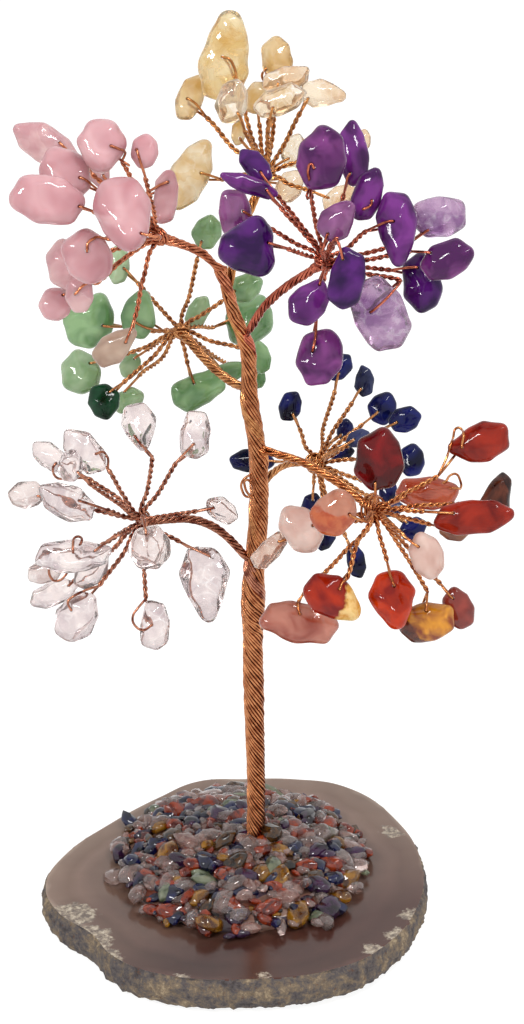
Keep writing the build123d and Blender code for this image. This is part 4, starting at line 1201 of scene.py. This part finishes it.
# Side of the slab, ring by ring, in millimetres: how far down, and how far out to the bulge of the
# rind or in under it.
SIDE_RINGS = [
    (0.15, 0.1), (0.3, 0.2), (0.45, 0.15), (0.5, 0.1), (0.5, 0.05), (0.5, 0.0), (0.5, 0.0), (0.5, -0.05),
    (0.5, -0.1), (0.5, -0.2), (0.5, -0.3), (0.45, -0.4), (0.4, -0.6), (0.3, -0.7), (0.15, -0.6),
]
# Polished face of the slab, ring by ring: the size of each as a share of the last.
FACE_RINGS = (0.992, 0.985, 0.975, 0.965, 0.95, 0.95, 0.93, 0.9, 0.8, 0.6)
# About how far the rim is from the middle, in millimetres.
SLICE_RADIUS = 26


def next_ring(rise, share, centre):
    """Extrudes the selected ring of edges upwards and scales the new one about a centre."""
    bpy.ops.mesh.extrude_region_move(TRANSFORM_OT_translate={"value": (0, 0, rise)})
    bpy.ops.transform.resize(value=(share, share, 1), center_override=centre)


outline = drawn_line([on_level(pixel, SLICE_TOP) for pixel in SLICE_RIM], 24, closed=True)
middle = Vector((sum(p.x for p in outline), sum(p.y for p in outline), 0)) / len(outline)
middle.z = SLICE_TOP
slab = added(bpy.ops.mesh.primitive_circle_add, vertices=len(outline), fill_type="NOTHING")
slab.name = "agate_slab"
for vertex, point in zip(slab.data.vertices, outline):
    vertex.co = point
edit(slab)
for drop, out in SIDE_RINGS:
    next_ring(-drop * MM, 1 + out / SLICE_RADIUS, middle)
bpy.ops.mesh.edge_face_add()
# Back to the first ring, and from there in over the face.
leave_edit()
for vertex in slab.data.vertices:
    vertex.select = vertex.index < len(outline)
for edge in slab.data.edges:
    edge.select = max(edge.vertices) < len(outline)
bpy.ops.object.mode_set(mode="EDIT")
for share in FACE_RINGS:
    next_ring(0, share, middle)
bpy.ops.mesh.edge_face_add()
leave_edit()
slab.data.update()
rind = slab.vertex_groups.new(name="rind")
rind.add([v.index for v in slab.data.vertices if 0.3 * MM < v.co.z < SLICE_TOP - 0.1 * MM], 1.0, "REPLACE")
displace(slab, clouds("crust", 1.1 * MM, 3), 1.1 * MM, 0.62, "rind")
edit(slab)
bpy.ops.mesh.normals_make_consistent(inside=False)
leave_edit()
settle(slab)
# How far in from the rim each point lies, for the bands of the agate.
inward = slab.data.attributes.new("inward", "FLOAT", "POINT")
for vertex, value in zip(slab.data.vertices, inward.data):
    ray = Vector((vertex.co.x - middle.x, vertex.co.y - middle.y, 0))
    angle = atan2(ray.y, ray.x)
    rim = min(outline, key=lambda p: abs(
        (atan2(p.y - middle.y, p.x - middle.x) - angle + pi) % (2 * pi) - pi))
    value.value = 1 - ray.length / hypot(rim.x - middle.x, rim.y - middle.y)
slab.data.materials.append(agate_face())
slab.data.materials.append(agate_rind())
for face in slab.data.polygons:
    face.material_index = 0 if face.normal.z > 0.9 and face.center.z > SLICE_TOP - 0.2 * MM else 1
only(slab)
bpy.ops.object.shade_smooth_by_angle(angle=radians(35))
hand_over(slab, "agate", "agate_slice")

# Glue bed and the heap of small chips

HEAP_MIDDLE = Vector((-2.4 * MM, 1.2 * MM, SLICE_TOP))
HEAP_HALF = (19.8 * MM, 22.2 * MM)
HEAP_HEIGHT = 5.4 * MM
BED_RIM = 0.5 * MM
BED_SHARE = 0.9
BED_RINGS = 18
CHIP_COUNT = 640
COLLAR_COUNT = 16
FORM_COUNT = 7
GOLDEN_ANGLE = pi * (3 - 5 ** 0.5)
# What each kind of small chip is: dark and light zone, clearness, milkiness and size of the zones.
GRAVEL = {
    "clear_quartz": ("#ceaca4", "#fae8e2", 0.88, 0.0, 1.6 * MM),
    "carnelian": ("#5c0f06", "#b84418", 0.5, 0.1, 1.6 * MM),
    "sodalite": ("#03040f", "#0e1440", 0.0, 0.0, 1.6 * MM),
    "citrine": ("#643404", "#c88c24", 0.6, 0.1, 1.6 * MM),
    "rose_quartz": ("#b07c70", "#dcbab0", 0.7, 0.1, 1.6 * MM),
    "tiger_eye": ("#100804", "#503212", 0.1, 0.1, 1.0 * MM),
    "amethyst": ("#180618", "#4a2450", 0.5, 0.0, 1.6 * MM),
    "aventurine": ("#5c6850", "#9aa284", 0.5, 0.2, 1.6 * MM),
}
KINDS = ["clear_quartz"] * 12 + ["carnelian"] * 6 + ["sodalite"] * 5 + ["amethyst"] * 3 + ["citrine"] * 2
KINDS += ["rose_quartz"] * 2 + ["tiger_eye"] * 3 + ["aventurine"]


def heap_point(angle, share):
    """Point of the heap's top, at an angle and a share of the way out from its middle."""
    level = BED_RIM + (HEAP_HEIGHT - BED_RIM) * max(0.0, 1 - share ** 2)
    across, back = HEAP_HALF[0] * share * cos(angle), HEAP_HALF[1] * share * sin(angle)
    return HEAP_MIDDLE + Vector((across, back, level))


forms = []
for k in range(FORM_COUNT):
    form = added(bpy.ops.mesh.primitive_ico_sphere_add, subdivisions=2, radius=1)
    edit(form)
    bpy.ops.transform.vertex_random(offset=0.22, seed=k)
    bpy.ops.mesh.convex_hull()
    leave_edit()
    bpy.ops.object.shade_smooth_by_angle(angle=radians(32))
    forms.append(form)

chip_spots = []
for k in range(CHIP_COUNT):
    share = (k / CHIP_COUNT) ** 0.5
    angle = GOLDEN_ANGLE * k + dice.uniform(-0.1, 0.1)
    ragged = share * (0.97 + 0.16 * soft_noise(2 * cos(angle), 2 * sin(angle), 4) * share)
    spot = heap_point(angle, ragged * dice.uniform(0.95, 1.05))
    # No chip lies where the trunk stands.
    if hypot(spot.x, spot.y) > 2 * MM:
        chip_spots.append(spot + Vector((0, 0, dice.uniform(-0.1, 0.6) * MM)))
# A collar of chips stands up round the foot of the trunk.
for k in range(COLLAR_COUNT):
    reach = dice.uniform(2.0, 2.7) * MM
    angle = 2 * pi * k / COLLAR_COUNT
    level = SLICE_TOP + HEAP_HEIGHT + dice.uniform(0, 0.9) * MM
    chip_spots.append(Vector((reach * cos(angle), reach * sin(angle), level)))
heap = {kind: [] for kind in GRAVEL}
for spot in chip_spots:
    size = dice.choice((0.8, 1.0, 1.2, 1.4, 1.7, 2.0, 2.4)) * MM
    tilt = Matrix.Rotation(dice.uniform(-0.5, 0.5), 4, "X")
    tilt = tilt @ Matrix.Rotation(dice.uniform(-0.5, 0.5), 4, "Y")
    turn = Matrix.Rotation(dice.uniform(0, 2 * pi), 4, "Z")
    scale = Matrix.Diagonal((size, size * dice.uniform(0.45, 0.8), size * dice.uniform(0.4, 0.6), 1))
    form = dice.choice(forms)
    chip = form.copy()
    chip.data = form.data.copy()
    chip.data.transform(Matrix.Translation(spot) @ tilt @ turn @ scale)
    bpy.context.scene.collection.objects.link(chip)
    heap[dice.choice(KINDS)].append(chip)
for kind, chips in heap.items():
    piece = join(f"heap_{kind}_chips", chips)
    piece.data.materials.append(gem(f"gravel, {kind.replace('_', ' ')}", *GRAVEL[kind]))
    hand_over(piece, kind, f"gravel_{kind}")
for form in forms:
    bpy.data.objects.remove(form)

bed = added(bpy.ops.mesh.primitive_circle_add, vertices=72, radius=1, fill_type="NOTHING",
            location=HEAP_MIDDLE)
bed.name = "glue_between_chips"
bed.scale = (HEAP_HALF[0] * BED_SHARE, HEAP_HALF[1] * BED_SHARE, 1)
bpy.ops.object.transform_apply(location=True, scale=True)
edit(bed)
next_ring(heap_point(0, BED_SHARE).z - SLICE_TOP, 1, HEAP_MIDDLE)
for step in range(BED_RINGS - 1, 0, -1):
    wider, smaller = BED_SHARE * (step + 1) / BED_RINGS, BED_SHARE * step / BED_RINGS
    next_ring(heap_point(0, smaller).z - heap_point(0, wider).z, smaller / wider, HEAP_MIDDLE)
bpy.ops.mesh.edge_face_add()
bpy.ops.mesh.select_all(action="SELECT")
bpy.ops.mesh.normals_make_consistent(inside=False)
leave_edit()
displace(bed, clouds("lumps", 1.8 * MM, 2), MM, 0.6)
settle(bed)
bpy.ops.object.shade_smooth()
bed.data.materials.append(hard_glue())
hand_over(bed, "glue", "glue_bed")

# Floor, light and camera

WHITE = (1, 1, 1, 1)
TREE_MIDDLE = Vector((0, 0, 0.07))
SENSOR_WIDTH = 36


def white_to_the_eye(tree, lit, white):
    """Mixes what is lit with plain white where the camera, a reflection or glass looks at it."""
    seen = 0
    for ray in ("Is Camera Ray", "Is Glossy Ray", "Is Transmission Ray"):
        seen = node(tree, "Math", {0: seen, 1: node(tree, "LightPath", out=ray)}, operation="MAXIMUM")
    return node(tree, "MixShader", {0: seen, 1: lit, 2: white})


def lamp(name, place_at, width, height, power, mirrored):
    """A soft box that faces the tree, seen in the polish of the stones or not."""
    made = added(bpy.ops.object.light_add, type="AREA", location=place_at)
    made.name = name
    made.data.shape = "RECTANGLE"
    made.data.size, made.data.size_y = width, height
    made.data.energy = power
    made.visible_glossy = mirrored
    made.rotation_euler = (TREE_MIDDLE - Vector(place_at)).to_track_quat("-Z", "Y").to_euler()


world = bpy.data.worlds.new("studio")
world.use_nodes = True
world.node_tree.nodes.clear()
soft = node(world.node_tree, "Background", {0: linear("#f4f2f0"), 1: 0.55})
plain = node(world.node_tree, "Background", {0: WHITE, 1: 1})
node(world.node_tree, "OutputWorld", {0: white_to_the_eye(world.node_tree, soft, plain)})
bpy.context.scene.world = world

floor = added(bpy.ops.mesh.primitive_plane_add, size=3, location=(0, 0, -0.05 * MM))
floor.name = "floor"
table, tree = new_material("white table")
paper = node(tree, "BsdfDiffuse", {0: linear("#f4f4f3")})
glow = node(tree, "Emission", {0: WHITE, 1: 1.25})
half = node(tree, "MixShader", {0: 0.72, 1: paper, 2: glow})
node(tree, "OutputMaterial", {0: white_to_the_eye(tree, paper, half)})
floor.data.materials.append(table)

lamp("window", (-0.45, -0.55, 0.6), 0.4, 0.06, 3.2, True)
lamp("strip", (0.3, -0.25, 0.75), 0.4, 0.04, 1.8, True)
lamp("ceiling", (0.1, -0.1, 0.8), 0.5, 0.5, 1.4, False)
lamp("fill", (0.6, -0.5, 0.3), 0.4, 0.4, 1.2, False)

camera = added(bpy.ops.object.camera_add, location=EYE)
camera.rotation_euler = VIEW_FORWARD.to_track_quat("-Z", "Y").to_euler()
camera.data.sensor_width = SENSOR_WIDTH
camera.data.lens = SENSOR_WIDTH * VIEW_DISTANCE / (PHOTO_HEIGHT * PIXEL)
camera.data.clip_start, camera.data.clip_end = 0.01, 10
bpy.context.scene.camera = camera
bpy.context.scene.view_settings.view_transform = "Standard"
